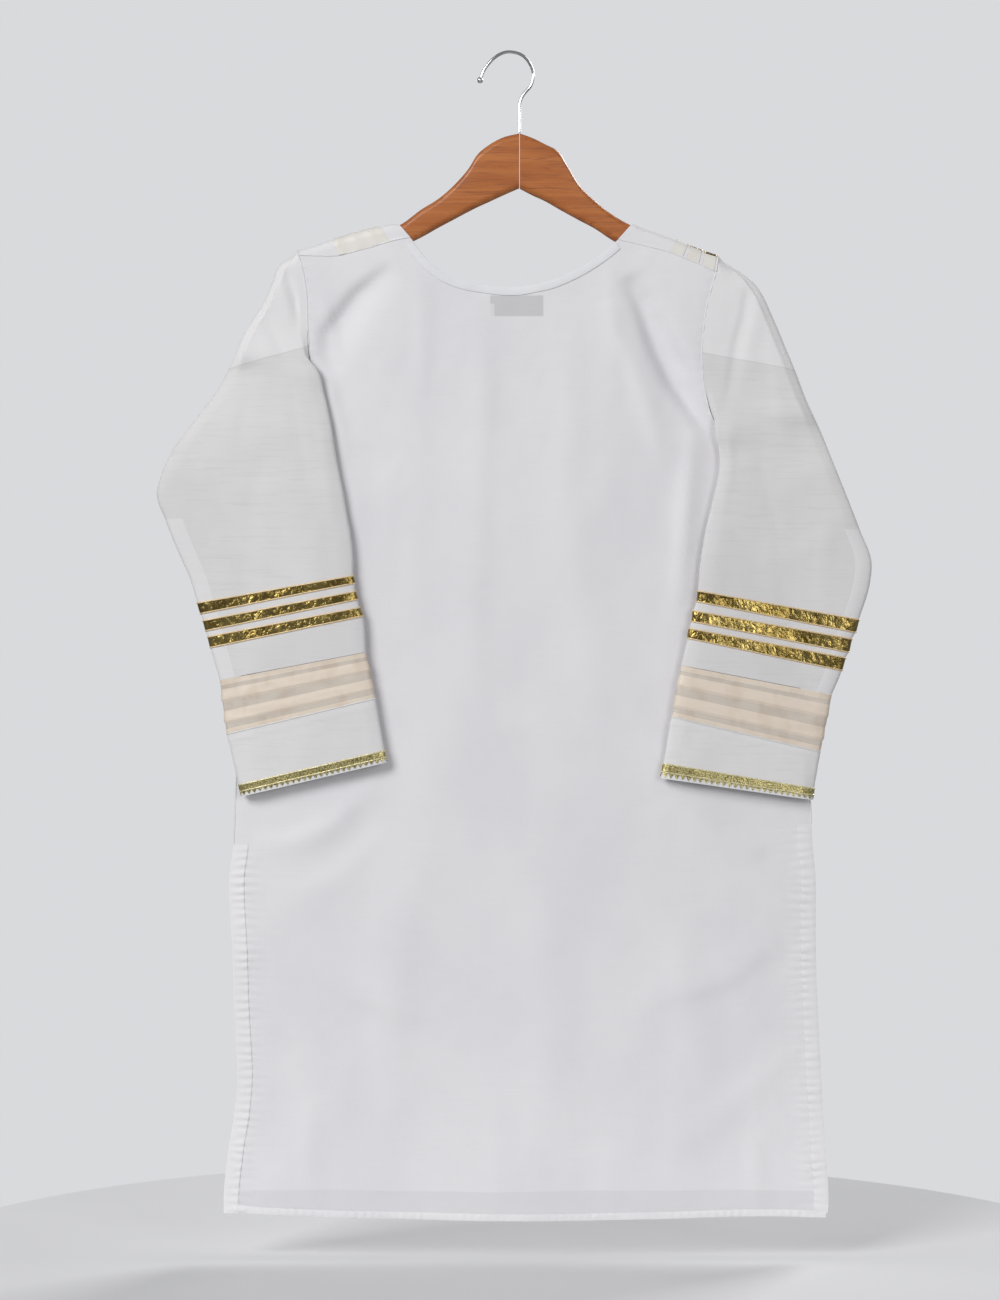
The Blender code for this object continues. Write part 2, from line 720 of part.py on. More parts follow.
def build_lace(name, side, cuff, mat):
    """Gold edging on the cuff: a band with a row of pointed picots below it."""
    points, faces, width = cuff
    ways = outward(points, faces)
    lift = WALL / 2 + TRIM_GAP + TRIM_WALL / 2
    skin = moved(points, ways, lift)
    upper, lower = skin[2 * width:3 * width], skin[3 * width:]
    top, low = [], []
    for c in range(width):
        n = (c + 1) % width
        pieces = 2 * max(1, round((upper[n] - upper[c]).length / PICOT_PITCH))
        for i in range(pieces):
            a = upper[c].lerp(upper[n], i / pieces)
            b = lower[c].lerp(lower[n], i / pieces)
            reach = LACE_BAND + (PICOT if i % 2 else 0)
            top.append(a)
            low.append(a.lerp(b, reach / LACE_RISE))
    cloth(name, top + low, tube_faces(2, len(top), side < 0), mat, TRIM_WALL / 2, TRIM_WALL / 2)


# Linings and label
def build_lining(mat):
    """Body lining, which ends above the hem and shows through the hem's sheer band."""
    levels, across = 9, 8
    points = []
    for step in range(levels):
        drop = mix(LINING_TOP, LINING_HEM, step / (levels - 1))
        left = through(SIDE_LEFT, drop) + LINING_INSET
        right = through(SIDE_RIGHT, drop) - LINING_INSET
        spots = [mix(left, right, i / across) for i in range(across + 1)]
        half = [LINING_SHARE * depth(x, drop) for x in spots]
        points += [place(x, drop, -y) for x, y in zip(spots, half)]
        points += [place(x, drop, y) for x, y in zip(reversed(spots), reversed(half))]
    faces = tube_faces(levels, 2 * across + 2, False)
    cloth("body_lining", points, faces, mat, TRIM_WALL / 2, TRIM_WALL / 2)


def build_label(mat):
    """Bare woven label inside the back, below the neckline."""
    left, right, top, low = LABEL
    inward = WALL / 2 + LABEL_GAP + TRIM_WALL / 2
    points = [back_point(mix(left, right, i / 3), drop, inward) for drop in (top, low) for i in range(4)]
    cloth("label", points, grid_faces(2, 4), mat, TRIM_WALL / 2, TRIM_WALL / 2)


# Hanger
def build_arm(name, table, mat):
    """One half of the wooden hanger, rounded along its upper and lower edges."""
    points = []
    angles = [math.radians(a) for a in (0, 30, 60, 90, 120, 150, 180)]
    for number, (x, top, low) in enumerate(table):
        thin = HANGER_TIP_SHARE if number == len(table) - 1 else 1.0
        half = HANGER_HALF * thin
        rise = min(HANGER_CORNER, (low - top) / 2 - 0.5)
        ring_points = [place(x, top + rise * (1 - math.sin(a)), -half * math.cos(a)) for a in angles]
        ring_points += [place(x, low - rise * (1 - math.sin(a)), half * math.cos(a)) for a in angles]
        points += ring_points
    count = 2 * len(angles)
    leftward = table[-1][0] < 0
    faces = tube_faces(len(table), count, leftward)
    near, far = list(range(count)), list(range(len(points) - count, len(points)))
    faces.append(tuple(reversed(near)) if leftward else tuple(near))
    faces.append(tuple(far) if leftward else tuple(reversed(far)))
    solid_object(name, points, faces, mat)


def rounded_route(points, pieces):
    """Smooth line through the route's points, each stretch in equal pieces."""
    out = []
    for i in range(len(points) - 1):
        p0, p1 = points[max(i - 1, 0)], points[i]
        p2, p3 = points[i + 1], points[min(i + 2, len(points) - 1)]
        for step in range(pieces):
            f = step / pieces
            out.append(0.5 * (2 * p1 + (p2 - p0) * f + (2 * p0 - 5 * p1 + 4 * p2 - p3) * f**2
                              + (3 * p1 - p0 - 3 * p2 + p3) * f**3))
    return out + [points[-1]]


def build_hook(mat):
    """Chrome wire hook and its ball tip."""
    route = rounded_route([place(x, drop, 0) for x, drop in HOOK], 3)
    curve = bpy.data.curves.new("hook", "CURVE")
    curve.dimensions = "3D"
    curve.bevel_depth = WIRE_RADIUS * MM
    curve.bevel_resolution = 2
    curve.use_fill_caps = True
    spline = curve.splines.new("POLY")
    spline.points.add(len(route) - 1)
    for spot, p in zip(spline.points, route):
        spot.co = (*(p * MM), 1.0)
    curve.materials.append(mat)
    bpy.context.scene.collection.objects.link(bpy.data.objects.new("hook", curve))
    away = (route[0] - route[1]).normalized()
    ball = bmesh.new()
    bmesh.ops.create_uvsphere(ball, u_segments=12, v_segments=8, radius=TIP_RADIUS * MM)
    mesh = bpy.data.meshes.new("hook_tip")
    ball.to_mesh(mesh)
    ball.free()
    mesh.shade_smooth()
    mesh.materials.append(mat)
    tip = bpy.data.objects.new("hook_tip", mesh)
    tip.location = (route[0] + away * (TIP_RADIUS + 0.45)) * MM
    bpy.context.scene.collection.objects.link(tip)


def build_side(side, name, head, arm, cuff_rows, fold_tip, mats):
    """One sleeve with its trims."""
    sleeve = build_sleeve(f"sleeve_{name}", side, head, arm, fold_tip, mats["sheer"])
    build_ribbons(f"sleeve_ribbon_{name}", side, sleeve, mats["gold"])
    build_cap_lining(f"cap_lining_{name}", side, sleeve, mats["lining"])
    build_insertion(f"insertion_{name}", side, arm[-1], cuff_rows[0], mats["organza"])
    cuff = build_cuff(f"cuff_{name}", side, cuff_rows[0], cuff_rows[1], mats["sheer"])
    build_lace(f"cuff_lace_{name}", side, cuff, mats["gold"])


def main():
    for obj in list(bpy.data.objects):
        bpy.data.objects.remove(obj, do_unlink=True)
    mats = {
        "cotton": material("white_cotton", (0.72, 0.72, 0.76), 0.85),
        "sheer": material("sheer_cotton", (0.78, 0.78, 0.8), 0.8),
        "lining": material("lining", (0.8, 0.8, 0.82), 0.85),
        "organza": material("cream_organza", (0.82, 0.78, 0.64), 0.5),
        "gold": material("gold_trim", (0.72, 0.55, 0.27), 0.3, 0.85),
        "label": material("label_cloth", (0.6, 0.6, 0.62), 0.8),
        "wood": material("hanger_wood", (0.5, 0.2, 0.07), 0.35),
        "chrome": material("chrome_wire", (0.75, 0.75, 0.77), 0.12, 1.0),
    }
    build_back(mats["cotton"])
    front = build_front(mats["cotton"])
    build_side(-1, "left", LEFT_HEAD, LEFT_ARM, LEFT_CUFF, FOLD_LEFT[0], mats)
    build_side(1, "right", RIGHT_HEAD, RIGHT_ARM, RIGHT_CUFF, FOLD_RIGHT[-1], mats)
    neck_strip("neck_binding_back", NECK_BACK, back_point, False, mats["lining"])
    neck_strip("neck_binding_front", NECK_FRONT, front_point, True, mats["lining"])
    for number in range(RIBBONS):
        surface, faces = front_strip(front, 1, 3 + number, 4 + number, 0.12, 0.88)
        cloth(f"front_ribbon_{number + 1}", surface, faces, mats["gold"], TRIM_WALL / 2, TRIM_WALL / 2)
    surface, faces = front_strip(front, 0, 2, 5, 0.1, 0.9)
    cloth("front_insertion", surface, faces, mats["organza"], TRIM_WALL / 2, TRIM_WALL / 2)
    build_lining(mats["lining"])
    build_label(mats["label"])
    build_arm("hanger_left", HANGER_LEFT, mats["wood"])
    build_arm("hanger_right", HANGER_RIGHT, mats["wood"])
    build_hook(mats["chrome"])


main()
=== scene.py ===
"""Looks of a sheer-sleeved kurta tunic on a wooden hanger, seen from behind.

The cloth repeats the tables and forms of the part's source, in millimetres as x and drop
(the distance below the hook's inner top), on a finer grid with creases worked in.
"""
import json
import math
from bisect import bisect_right
from collections import namedtuple

import bmesh
import bpy
from mathutils import Matrix, Vector, noise

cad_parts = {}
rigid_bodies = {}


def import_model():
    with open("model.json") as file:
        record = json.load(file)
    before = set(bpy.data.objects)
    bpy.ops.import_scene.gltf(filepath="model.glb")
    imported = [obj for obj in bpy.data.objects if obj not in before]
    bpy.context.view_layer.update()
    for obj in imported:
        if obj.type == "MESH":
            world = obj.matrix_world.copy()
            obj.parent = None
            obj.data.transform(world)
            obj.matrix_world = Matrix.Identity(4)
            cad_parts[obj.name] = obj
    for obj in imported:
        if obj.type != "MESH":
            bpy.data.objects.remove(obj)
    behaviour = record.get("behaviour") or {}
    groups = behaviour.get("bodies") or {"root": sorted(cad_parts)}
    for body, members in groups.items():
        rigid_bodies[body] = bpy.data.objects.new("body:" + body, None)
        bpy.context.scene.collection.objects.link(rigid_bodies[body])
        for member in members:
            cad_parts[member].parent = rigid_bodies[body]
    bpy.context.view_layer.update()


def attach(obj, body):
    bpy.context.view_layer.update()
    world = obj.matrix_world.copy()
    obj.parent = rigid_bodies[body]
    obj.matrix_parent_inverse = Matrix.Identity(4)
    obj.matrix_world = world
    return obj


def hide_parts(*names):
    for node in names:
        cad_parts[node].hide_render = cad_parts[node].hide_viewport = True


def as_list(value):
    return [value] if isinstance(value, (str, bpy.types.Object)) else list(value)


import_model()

MM = 0.001

# Cloth, trims and clearances
WALL = 1.2
TRIM_WALL = 0.8
SEAM_GAP = 0.4
TRIM_GAP = 0.35
UNDERARM_GAP = 1.6
SLEEVE_CLEAR = 3.2
FOLD_ROOM = 1.15
ROLL = 8.0
HANGER_HALF = 6.0
HANGER_CORNER = 7.0
HANGER_TIP_SHARE = 0.6
SHOULDER_HALF = 6.9
UNDERARM_DROP = 402
EVENING = 0.25
# Neck binding: distances of its edges from the neckline
NECK_BAND = (0.4, 8.0)
# Points along a shoulder in the solids and here, and along the necklines
SOLID_SHOULDER_STEPS = 6
SHOULDER_STEPS = 24
NECK_STEPS_BACK = 48
NECK_STEPS_FRONT = 24
# Rows from the underarm to where the slits begin, and from there to the hem
BACK_ROWS = (66, 170)
FRONT_ROWS = (40, 120)
SLIT_SHARE = 0.45
SIDE_CROWDING = 0.62
ROW_PIECES = 5
# Thickness of the cloth that shows
CLOTH = 0.5
SHEER_CLOTH = 0.3

# Shoulder folds, shoulder seams on the back, and both necklines: x, drop
FOLD_LEFT = ((-204, 190), (-193, 187), (-175, 181), (-156, 175), (-134, 169), (-108, 164))
FOLD_RIGHT = ((118, 164), (125, 167), (153, 177), (185, 190), (200, 195))
SEAM_LEFT = ((-203, 195), (-171, 196), (-143, 190), (-107, 180), (-96, 178))
SEAM_RIGHT = ((104, 180), (125, 185), (149, 191), (173, 200), (198, 211))
NECK_BACK = ((-96, 178), (-78, 201), (-56, 216), (-35, 222), (1, 226), (33, 221), (61, 210),
             (87, 194), (104, 180))
NECK_FRONT = ((-108, 164), (-99, 190), (-84, 222), (-58, 256), (-28, 276), (5, 284), (38, 276),
              (68, 256), (94, 222), (109, 190), (118, 164))

# Sides of the body below the underarm: drop, left x, right x
BODY_SIDES = (
    (402, -238, 240),
    (430, -245, 248),
    (488, -252, 259),
    (574, -257, 274),
    (690, -263, 287),
    (762, -266, 291),
    (799, -270, 294),
    (864, -267, 294),
    (922, -265, 296),
    (983, -262, 299),
    (1022, -265, 301),
    (1052, -270, 303),
    (1104, -275, 306),
    (1122, -275, 305),
)
HEM = ((-275, 1110), (-259, 1115), (-202, 1118), (-106, 1120), (10, 1122), (144, 1120),
       (240, 1118), (305, 1120))

# Half depth of the hanging body at its middle and at its side edges: drop, half depth
FULL_DEPTH = ((160, 8.5), (230, 9.5), (402, 12), (700, 14), (1122, 13))
EDGE_DEPTH = ((190, 6.9), (300, 7.2), (370, 4.8), (402, 0.75), (770, 0.75), (1122, 3))

# Main folds of the back: x and drop at both ends, half width, height
BACK_FOLDS = (
    (128, 232, 203, 372, 13, -3.2),
    (169, 350, 160, 560, 11, 1.8),
    (-130, 226, -186, 312, 15, -2.8),
    (-155, 330, -144, 560, 12, 1.8),
    (-120, 690, -215, 770, 16, 2.0),
    (60, 420, 110, 800, 22, 1.8),
    (-60, 500, -90, 900, 24, 1.6),
)
FRONT_FOLDS = (
    (-60, 420, -100, 980, 26, 2.0),
    (90, 450, 130, 1000, 26, 2.0),
)

# Sleeve heads, where the sleeve is sewn into the armhole. The lap is the angle by which
# the sleeve has turned from the armhole's edge onto the back, and half is half the
# sleeve's thickness at its inner fold: drop, armhole, inner fold, outer edge, lap, half
LEFT_HEAD = (
    (195, -203, -203, -204, 0, 7.0),
    (205, -200, -205, -222, 0, 7.0),
    (220, -197, -203, -228.5, 0, 7.2),
    (238, -195, -202, -236, 0, 7.4),
    (257, -194.5, -202, -248, 0, 7.5),
    (275, -193.5, -200, -258.5, 20, 9.5),
    (292, -192, -196, -265.5, 45, 12.5),
    (307, -191.5, -184, -272, 90, 4.0),
    (325, -194.5, -179, -281.5, 90, 4.0),
    (345, -200.5, -174, -296.5, 90, 4.5),
    (364, -208, -170.5, -311, 90, 5.0),
    (384, -222, -167.5, -325, 90, 5.0),
    (402, -238, -164, -333, 90, 5.0),
)
RIGHT_HEAD = (
    (211, 198, 198, 200, 0, 7.0),
    (221, 195, 200, 235, 0, 7.0),
    (234, 191.5, 198, 244, 0, 7.2),
    (249, 188, 196, 251, 0, 7.4),
    (265, 186, 194, 258, 0, 7.5),
    (282, 184.5, 193, 265, 0, 7.5),
    (299, 184.5, 193, 272, 0, 7.5),
    (315, 185.5, 193, 278, 0, 7.5),
    (331, 188.5, 195.0, 284, 20, 8.5),
    (348, 193, 197, 291.5, 45, 11.0),
    (365, 202, 196.5, 299, 90, 4.0),
    (384, 217, 200.5, 306.5, 90, 4.0),
    (402, 240, 200.5, 313.5, 90, 5.0),
)

# Sleeves below the underarm, one row for each line across: outer x, outer drop, inner x,
# inner drop. The last seven rows are both edges of three ribbons and the insertion's seam.
LEFT_ARM = (
    (-339, 426, -160, 422),
    (-331, 449, -156.5, 442),
    (-319, 479, -152, 467),
    (-306, 509, -150, 490),
    (-300, 529.5, -150, 503.5),
    (-297, 539.5, -149, 510.5),
    (-294.5, 546.5, -148, 518.5),
    (-292, 556, -146, 526),
    (-290, 562, -144, 534),
    (-287.5, 572, -141, 542),
    (-278.5, 603, -138, 576.5),
)
RIGHT_ARM = (
    (324, 428, 195.5, 426),
    (336, 459, 188.5, 455),
    (347, 489, 184, 480),
    (345, 513, 181.5, 499),
    (335, 545.5, 180, 518),
    (331.5, 557.5, 179, 528),
    (328, 564, 175.5, 537),
    (325, 576.5, 174, 547),
    (322, 582, 171.5, 554),
    (318.5, 594, 170, 563),
    (309, 617, 164, 589),
)
FIRST_RIBBON_ROW = 17
RIBBONS = 3

# Cuffs: the insertion's lower seam and the hem: outer x, outer drop, inner x, inner drop
LEFT_CUFF = ((-272, 655, -129, 620.5), (-257.5, 715, -118, 682))
RIGHT_CUFF = ((298, 672, 155, 638), (290.5, 718.5, 144, 697))
# The insertion's tucks: share of its height, lift of the outer side
TUCKS = ((0.0, 0), (0.2, 0), (0.38, 0.9), (0.41, 0), (0.6, 0), (0.78, 0.9), (0.81, 0), (1.0, 0))
# How far above a tuck its second layer begins, and the share of the height doubled at the seams
TUCK_ROOT = 0.03
SEAM_DOUBLE = 0.09
# Lace: its top edge above the cuff's hem, the height of its band and of its pointed picots
LACE_RISE = 11.0
LACE_BAND = 6.0
PICOT = 4.0
# Picots round a cuff, and points along each
PICOTS = 54
PICOT_STEPS = 6
# Where the seam lies on a sleeve's hidden layer, as a share of the way from the outer edge
SEAM_SHARE = 0.58
# The hidden middle of a sleeve head swings towards the back, from this drop on
SWING_START = 280
SWING = 7.5
# Rounding of a flattened sleeve at its edges: distance from the edge, share of the half depth
ENDS = ((0.0, 0.0), (0.4, 0.2), (1.3, 0.45), (3.0, 0.6), (5.5, 0.75), (8.0, 0.85))
# Points across a sleeve: on the lap from the seam, on the layer that shows, on the hidden one
LAP_STEPS = len(ENDS) + 1
SHOW_STEPS = 46
HIDDEN_STEPS = 20

# Hanger: x, drop of the upper edge, drop of the lower edge; the cloth gives the upper
# edge beyond the neck
HANGER_LEFT = (
    (8.9, 77, 130), (-7, 81, 137), (-20, 88, 143), (-31, 97, 148), (-40, 111, 152.5),
    (-54, 127, 160), (-69, 140, 168), (-85, 150, 177), (-107, 165.6, 187), (-134, 170.5, 197),
    (-162, 178.4, 205), (-184, 185.6, 209), (-190, 189.5, 206),
)
HANGER_RIGHT = (
    (9.5, 77, 130.5), (22, 81.5, 137), (33, 87, 142), (47, 95, 150), (56, 109, 155),
    (67, 127, 161), (82, 142, 169), (97, 154, 179), (117, 165.6, 190), (138, 173, 199),
    (160, 181.3, 208), (186, 192, 215), (193, 196.5, 212),
)
HOOK = ((-28, 23.5), (-25, 16), (-18, 7), (-9.5, 0.6), (0, -1.5), (11, 1.3), (18.5, 9), (22.3, 20),
        (20, 31), (13.5, 39), (9.6, 47), (9, 58), (9, 76.3))
WIRE_RADIUS = 1.5
TIP_RADIUS = 3.0
LABEL = (-19, 32, 234, 254)
LABEL_GAP = 0.6
LINING_TOP = 385
LINING_HEM = 1091
LINING_INSET = 44
LINING_SHARE = 0.62


# Reading the tables
def slope(points, i):
    """Slope of the smooth line at its i-th point, level where the line turns back."""
    if i == 0:
        return (points[1][1] - points[0][1]) / (points[1][0] - points[0][0])
    if i == len(points) - 1:
        return (points[i][1] - points[i - 1][1]) / (points[i][0] - points[i - 1][0])
    before = (points[i][1] - points[i - 1][1]) / (points[i][0] - points[i - 1][0])
    after = (points[i + 1][1] - points[i][1]) / (points[i + 1][0] - points[i][0])
    if before * after <= 0:
        return 0.0
    return 2 * before * after / (before + after)


def through(points, at):
    """Value at a place on the smooth line through (place, value) pairs."""
    if at <= points[0][0]:
        return points[0][1]
    if at >= points[-1][0]:
        return points[-1][1]
    i = bisect_right([p[0] for p in points], at) - 1
    span = points[i + 1][0] - points[i][0]
    f = (at - points[i][0]) / span
    start, end = points[i][1], points[i + 1][1]
    rise = slope(points, i) * span
    fall = slope(points, i + 1) * span
    return ((2 * f**3 - 3 * f**2 + 1) * start + (f**3 - 2 * f**2 + f) * rise
            + (3 * f**2 - 2 * f**3) * end + (f**3 - f**2) * fall)


def mix(a, b, share):
    return a + (b - a) * share


def between(a, b, share):
    return tuple(mix(p, q, share) for p, q in zip(a, b))


def reaches(line):
    """Distance of each point of a line from its start."""
    reach = [0.0]
    for a, b in zip(line, line[1:]):
        reach.append(reach[-1] + math.dist(a, b))
    return reach


def leg_at(reach, wanted):
    """The leg of a line on which a distance from its start lies, and the share of that leg."""
    j = min(bisect_right(reach, wanted) - 1, len(reach) - 2)
    return j, (wanted - reach[j]) / (reach[j + 1] - reach[j])


def spread(points, count):
    """Points evenly spaced along the smooth line, both ends included."""
    line = [(x, through(points, x)) for x in (mix(points[0][0], points[-1][0], i / 200) for i in range(201))]
    reach = reaches(line)
    out = []
    for i in range(count + 1):
        j, share = leg_at(reach, reach[-1] * i / count)
        out.append(between(line[j], line[j + 1], share))
    return out


# The hanging form of the body, as a depth over x and drop
FOLD_LINE = FOLD_LEFT + FOLD_RIGHT
SIDE_LEFT = tuple((row[0], row[1]) for row in LEFT_HEAD[:-1]) + tuple((r[0], r[1]) for r in BODY_SIDES)
SIDE_RIGHT = tuple((row[0], row[1]) for row in RIGHT_HEAD[:-1]) + tuple((r[0], r[2]) for r in BODY_SIDES)


def fold_sum(folds, x, drop):
    """Height that the folds add at a place: each one fades out at its ends and sides."""
    total = 0.0
    for x0, drop0, x1, drop1, half_width, height in folds:
        length = math.dist((x0, drop0), (x1, drop1))
        along = ((x - x0) * (x1 - x0) + (drop - drop0) * (drop1 - drop0)) / length**2
        if 0 < along < 1:
            off = ((x - x0) * (drop1 - drop0) - (drop - drop0) * (x1 - x0)) / length
            total += height * math.sin(math.pi * along) ** 0.7 * math.exp(-(off / half_width) ** 2)
    return total


def depth(x, drop, folds=()):
    """Half depth of the body's middle surface, rounded over at the shoulder fold."""
    left, right = through(SIDE_LEFT, drop), through(SIDE_RIGHT, drop)
    share = min(max((x - left) / (right - left), 0.0), 1.0)
    crown = math.sin(math.pi * share) ** 0.8
    edge = through(EDGE_DEPTH, drop)
    out = mix(edge, through(FULL_DEPTH, drop), crown)
    out += fold_sum(folds, x, drop) * min(1.0, 4 * crown)
    below = min(max((drop - through(FOLD_LINE, x)) / ROLL, 0.0), 1.0)
    return out * math.sqrt(1 - (1 - below) ** 2)


def place(x, drop, y):
    return Vector((x, y, -drop))


def back_point(x, drop, inward=0.0):
    return place(x, drop, inward - depth(x, drop, BACK_FOLDS))


def front_point(x, drop, inward=0.0):
    return place(x, drop, depth(x, drop, FRONT_FOLDS) - inward)


# A body panel: its surface, its creases, the seed of its noise and the way it faces along Y
Panel = namedtuple("Panel", "point creases seed towards")


def grid_faces(rows, columns, flip=False, closed=False):
    """Quads of a grid of points kept row by row, each row open or closed into a ring."""
    faces = []
    for r in range(rows - 1):
        for c in range(columns if closed else columns - 1):
            a, b = r * columns + c, r * columns + (c + 1) % columns
            quad = (a, a + columns, b + columns, b)
            faces.append(tuple(reversed(quad)) if flip else quad)
    return faces


# Rows of the body panels
def armhole_offsets(head, top, low):
    """How far each armhole point lies from the straight line between its ends."""
    out = []
    for drop, x in head:
        share = (drop - top[1]) / (low[1] - top[1])
        out.append((share, x - mix(top[0], low[0], share)))
    return out


def panel_rows(top, shares, crowding=0.0):
    """Rows of (x, drop) from the top line over the armholes to the hem, closer at the sides if crowded."""
    left_head, right_head = ([row[:2] for row in head[1:]] for head in (LEFT_HEAD, RIGHT_HEAD))
    left_top, right_top = top[0], top[-1]
    left_low, right_low = left_head[-1][::-1], right_head[-1][::-1]
    spans = [mix((x - left_top[0]) / (right_top[0] - left_top[0]), i / (len(top) - 1), EVENING)
             for i, (x, _) in enumerate(top)]
    left_way = armhole_offsets(left_head, left_top, left_low)
    right_way = armhole_offsets(right_head, right_top, right_low)
    rows = [list(top)]
    for (left_share, left_off), (right_share, right_off) in zip(left_way, right_way):
        row = []
        for (x, drop), span in zip(top, spans):
            share = mix(left_share, right_share, span)
            low = mix(left_low[0], right_low[0], span)
            bend = left_off * (1 - span) ** 2 + right_off * span**2
            row.append((mix(x, low, share) + bend, mix(drop, UNDERARM_DROP, share)))
        rows.append(row)
    left_hem, right_hem = HEM[0][1], HEM[-1][1]
    for share in shares:
        crowd = crowding * fade(share, 0.0, 0.4) / (2 * math.pi)
        row = []
        for plain in spans:
            span = plain - crowd * math.sin(2 * math.pi * plain)
            level = mix(UNDERARM_DROP, mix(left_hem, right_hem, span), share)
            x = mix(through(SIDE_LEFT, level), through(SIDE_RIGHT, level), span)
            row.append((x, mix(UNDERARM_DROP, through(HEM, x), share)))
        rows.append(row)
    return rows


def neck_x(fall, side):
    """Where the front neckline is at a fall below the left (0) or right (1) neck point."""
    low = NECK_FRONT[-2:][::-1] if side else NECK_FRONT[:2]
    return mix(low[0][0], low[1][0], fall / (low[1][1] - low[0][1]))


def roll_row(row, fall):
    return [(x, drop + fall) for x, drop in row]


def base_y(x, drop):
    """Middle of a layer that lies on the back, clear of it."""
    return -depth(x, drop) * FOLD_ROOM - SLEEVE_CLEAR


def shown_spots(width, rounded):
    """Distance from the inner end, and profile, of each point of the shown layer."""
    tail = [(width - reach, profile) for reach, profile in reversed(ENDS)]
    head = list(ENDS) if rounded else [(0.0, 1.0)]
    count = SHOW_STEPS + 1 - len(head) - len(tail)
    middle = [(mix(head[-1][0], tail[0][0], (i + 1) / (count + 1)), 1.0) for i in range(count)]
    return head + middle + tail


def hidden_spots(width):
    """The same from the outer end along the hidden layer, its first point left out."""
    count = HIDDEN_STEPS - len(ENDS) + 1
    return list(ENDS[1:]) + [(mix(ENDS[-1][0], width, (i + 1) / count), 1.0) for i in range(count)]


def lap_spots(width):
    """The same on the layer from the seam to the inner end, its last point left out."""
    squeeze = min(1.0, width / (2 * ENDS[-1][0]))
    ends = [(reach * squeeze, profile) for reach, profile in reversed(ENDS[1:])]
    return [(width, 1.0), ((width + ends[0][0]) / 2, 1.0)] + ends


def ring(outer, inner, half, seam_share=SEAM_SHARE):
    """Closed ring of a flattened sleeve that lies on the back."""
    (outer_x, outer_drop), (inner_x, inner_drop) = outer, inner
    seam_x = mix(outer_x, inner_x, seam_share)
    way = 1 if inner_x > outer_x else -1
    width = abs(inner_x - outer_x)
    spots = [(inner_x - way * reach, profile) for reach, profile in lap_spots(abs(inner_x - seam_x))]
    spots += [(inner_x - way * reach, -profile) for reach, profile in shown_spots(width, True)]
    spots += [(outer_x + way * reach, profile) for reach, profile in hidden_spots(abs(seam_x - outer_x))[:-1]]
    points = []
    for x, profile in spots:
        drop = mix(outer_drop, inner_drop, (x - outer_x) / (inner_x - outer_x))
        points.append(place(x, drop, base_y(x, drop) - half * (1 - profile)))
    return points


def head_row(row, side):
    """Open row of a sleeve head, from the back's armhole edge round to the front's."""
    drop, hole, inner, outer, lap, half = row
    edge = through(EDGE_DEPTH, drop)
    turn = math.radians(lap)
    lift = SEAM_GAP + 0.1 + (SLEEVE_CLEAR - SEAM_GAP - 0.1) * lap / 90
    start = (hole + side * lift * math.cos(turn), -edge - lift * math.sin(turn))
    outer_y = -SWING * max(drop - SWING_START, 0) / (UNDERARM_DROP - SWING_START)
    lapped = lap == 90

    def middle(x):
        share = min((x - outer) / (hole - outer), 1.0)
        if not lapped:
            return mix(outer_y, 0, share)
        return mix(outer_y, base_y(x if share == 1.0 else hole, drop) - half, share)

    shown = [(inner + side * reach, middle(inner + side * reach) - half * profile)
             for reach, profile in shown_spots(abs(outer - inner), lapped)]
    if lapped:
        under = [(inner + side * reach, base_y(inner + side * reach, drop) - half * (1 - profile))
                 for reach, profile in lap_spots(abs(start[0] - inner))]
    else:
        under = [between(start, shown[0], i / LAP_STEPS) for i in range(LAP_STEPS)]
    end = (hole + side * (SEAM_GAP + 0.1), edge)
    hidden = [(outer - side * reach, mix(shown[-1][1], end[1], profile))
              for reach, profile in hidden_spots(abs(outer - end[0]))]
    return [place(x, drop, y) for x, y in under + shown + hidden]


def shoulder_end(head, fold_tip, side):
    """First row of a sleeve: an arc beside the front panel's end, from back to front."""
    steps = LAP_STEPS + SHOW_STEPS + HIDDEN_STEPS
    seam_drop = head[0][0]
    low_front = fold_tip[1] + ROLL
    points = []
    for i in range(steps + 1):
        share = i / steps
        if share < 0.5:
            drop = mix(seam_drop, fold_tip[1], math.sin(share * math.pi))
            x = mix(head[0][1], fold_tip[0], share * 2)
            fall = drop - fold_tip[1]
            y = -SHOULDER_HALF * math.sqrt(1 - (1 - min(fall / ROLL, 1.0)) ** 2)
        else:
            angle = (share - 0.5) * math.pi
            drop = mix(fold_tip[1], low_front, 1 - math.cos(angle))
            x = fold_tip[0]
            y = SHOULDER_HALF * math.sin(angle)
        points.append(place(x + side * (SEAM_GAP + 0.5), drop, y))
    return points


def as_ring(row):
    return ring(row[:2], row[2:], 5.0)


def rounded_route(points, pieces):
    """Smooth line through the route's points, each stretch in equal pieces."""
    out = []
    for i in range(len(points) - 1):
        p0, p1 = points[max(i - 1, 0)], points[i]
        p2, p3 = points[i + 1], points[min(i + 2, len(points) - 1)]
        for step in range(pieces):
            f = step / pieces
            out.append(0.5 * (2 * p1 + (p2 - p0) * f + (2 * p0 - 5 * p1 + 4 * p2 - p3) * f**2
                              + (3 * p1 - p0 - 3 * p2 + p3) * f**3))
    return out + [points[-1]]


# Smooth meshes
def hem_shares(upper, lower):
    """Shares of the way from the underarm to the hem, closer together beside the slits."""
    shares = [SLIT_SHARE * i / upper for i in range(1, upper + 1)]
    return shares + [mix(SLIT_SHARE, 1.0, i / lower) for i in range(1, lower + 1)]


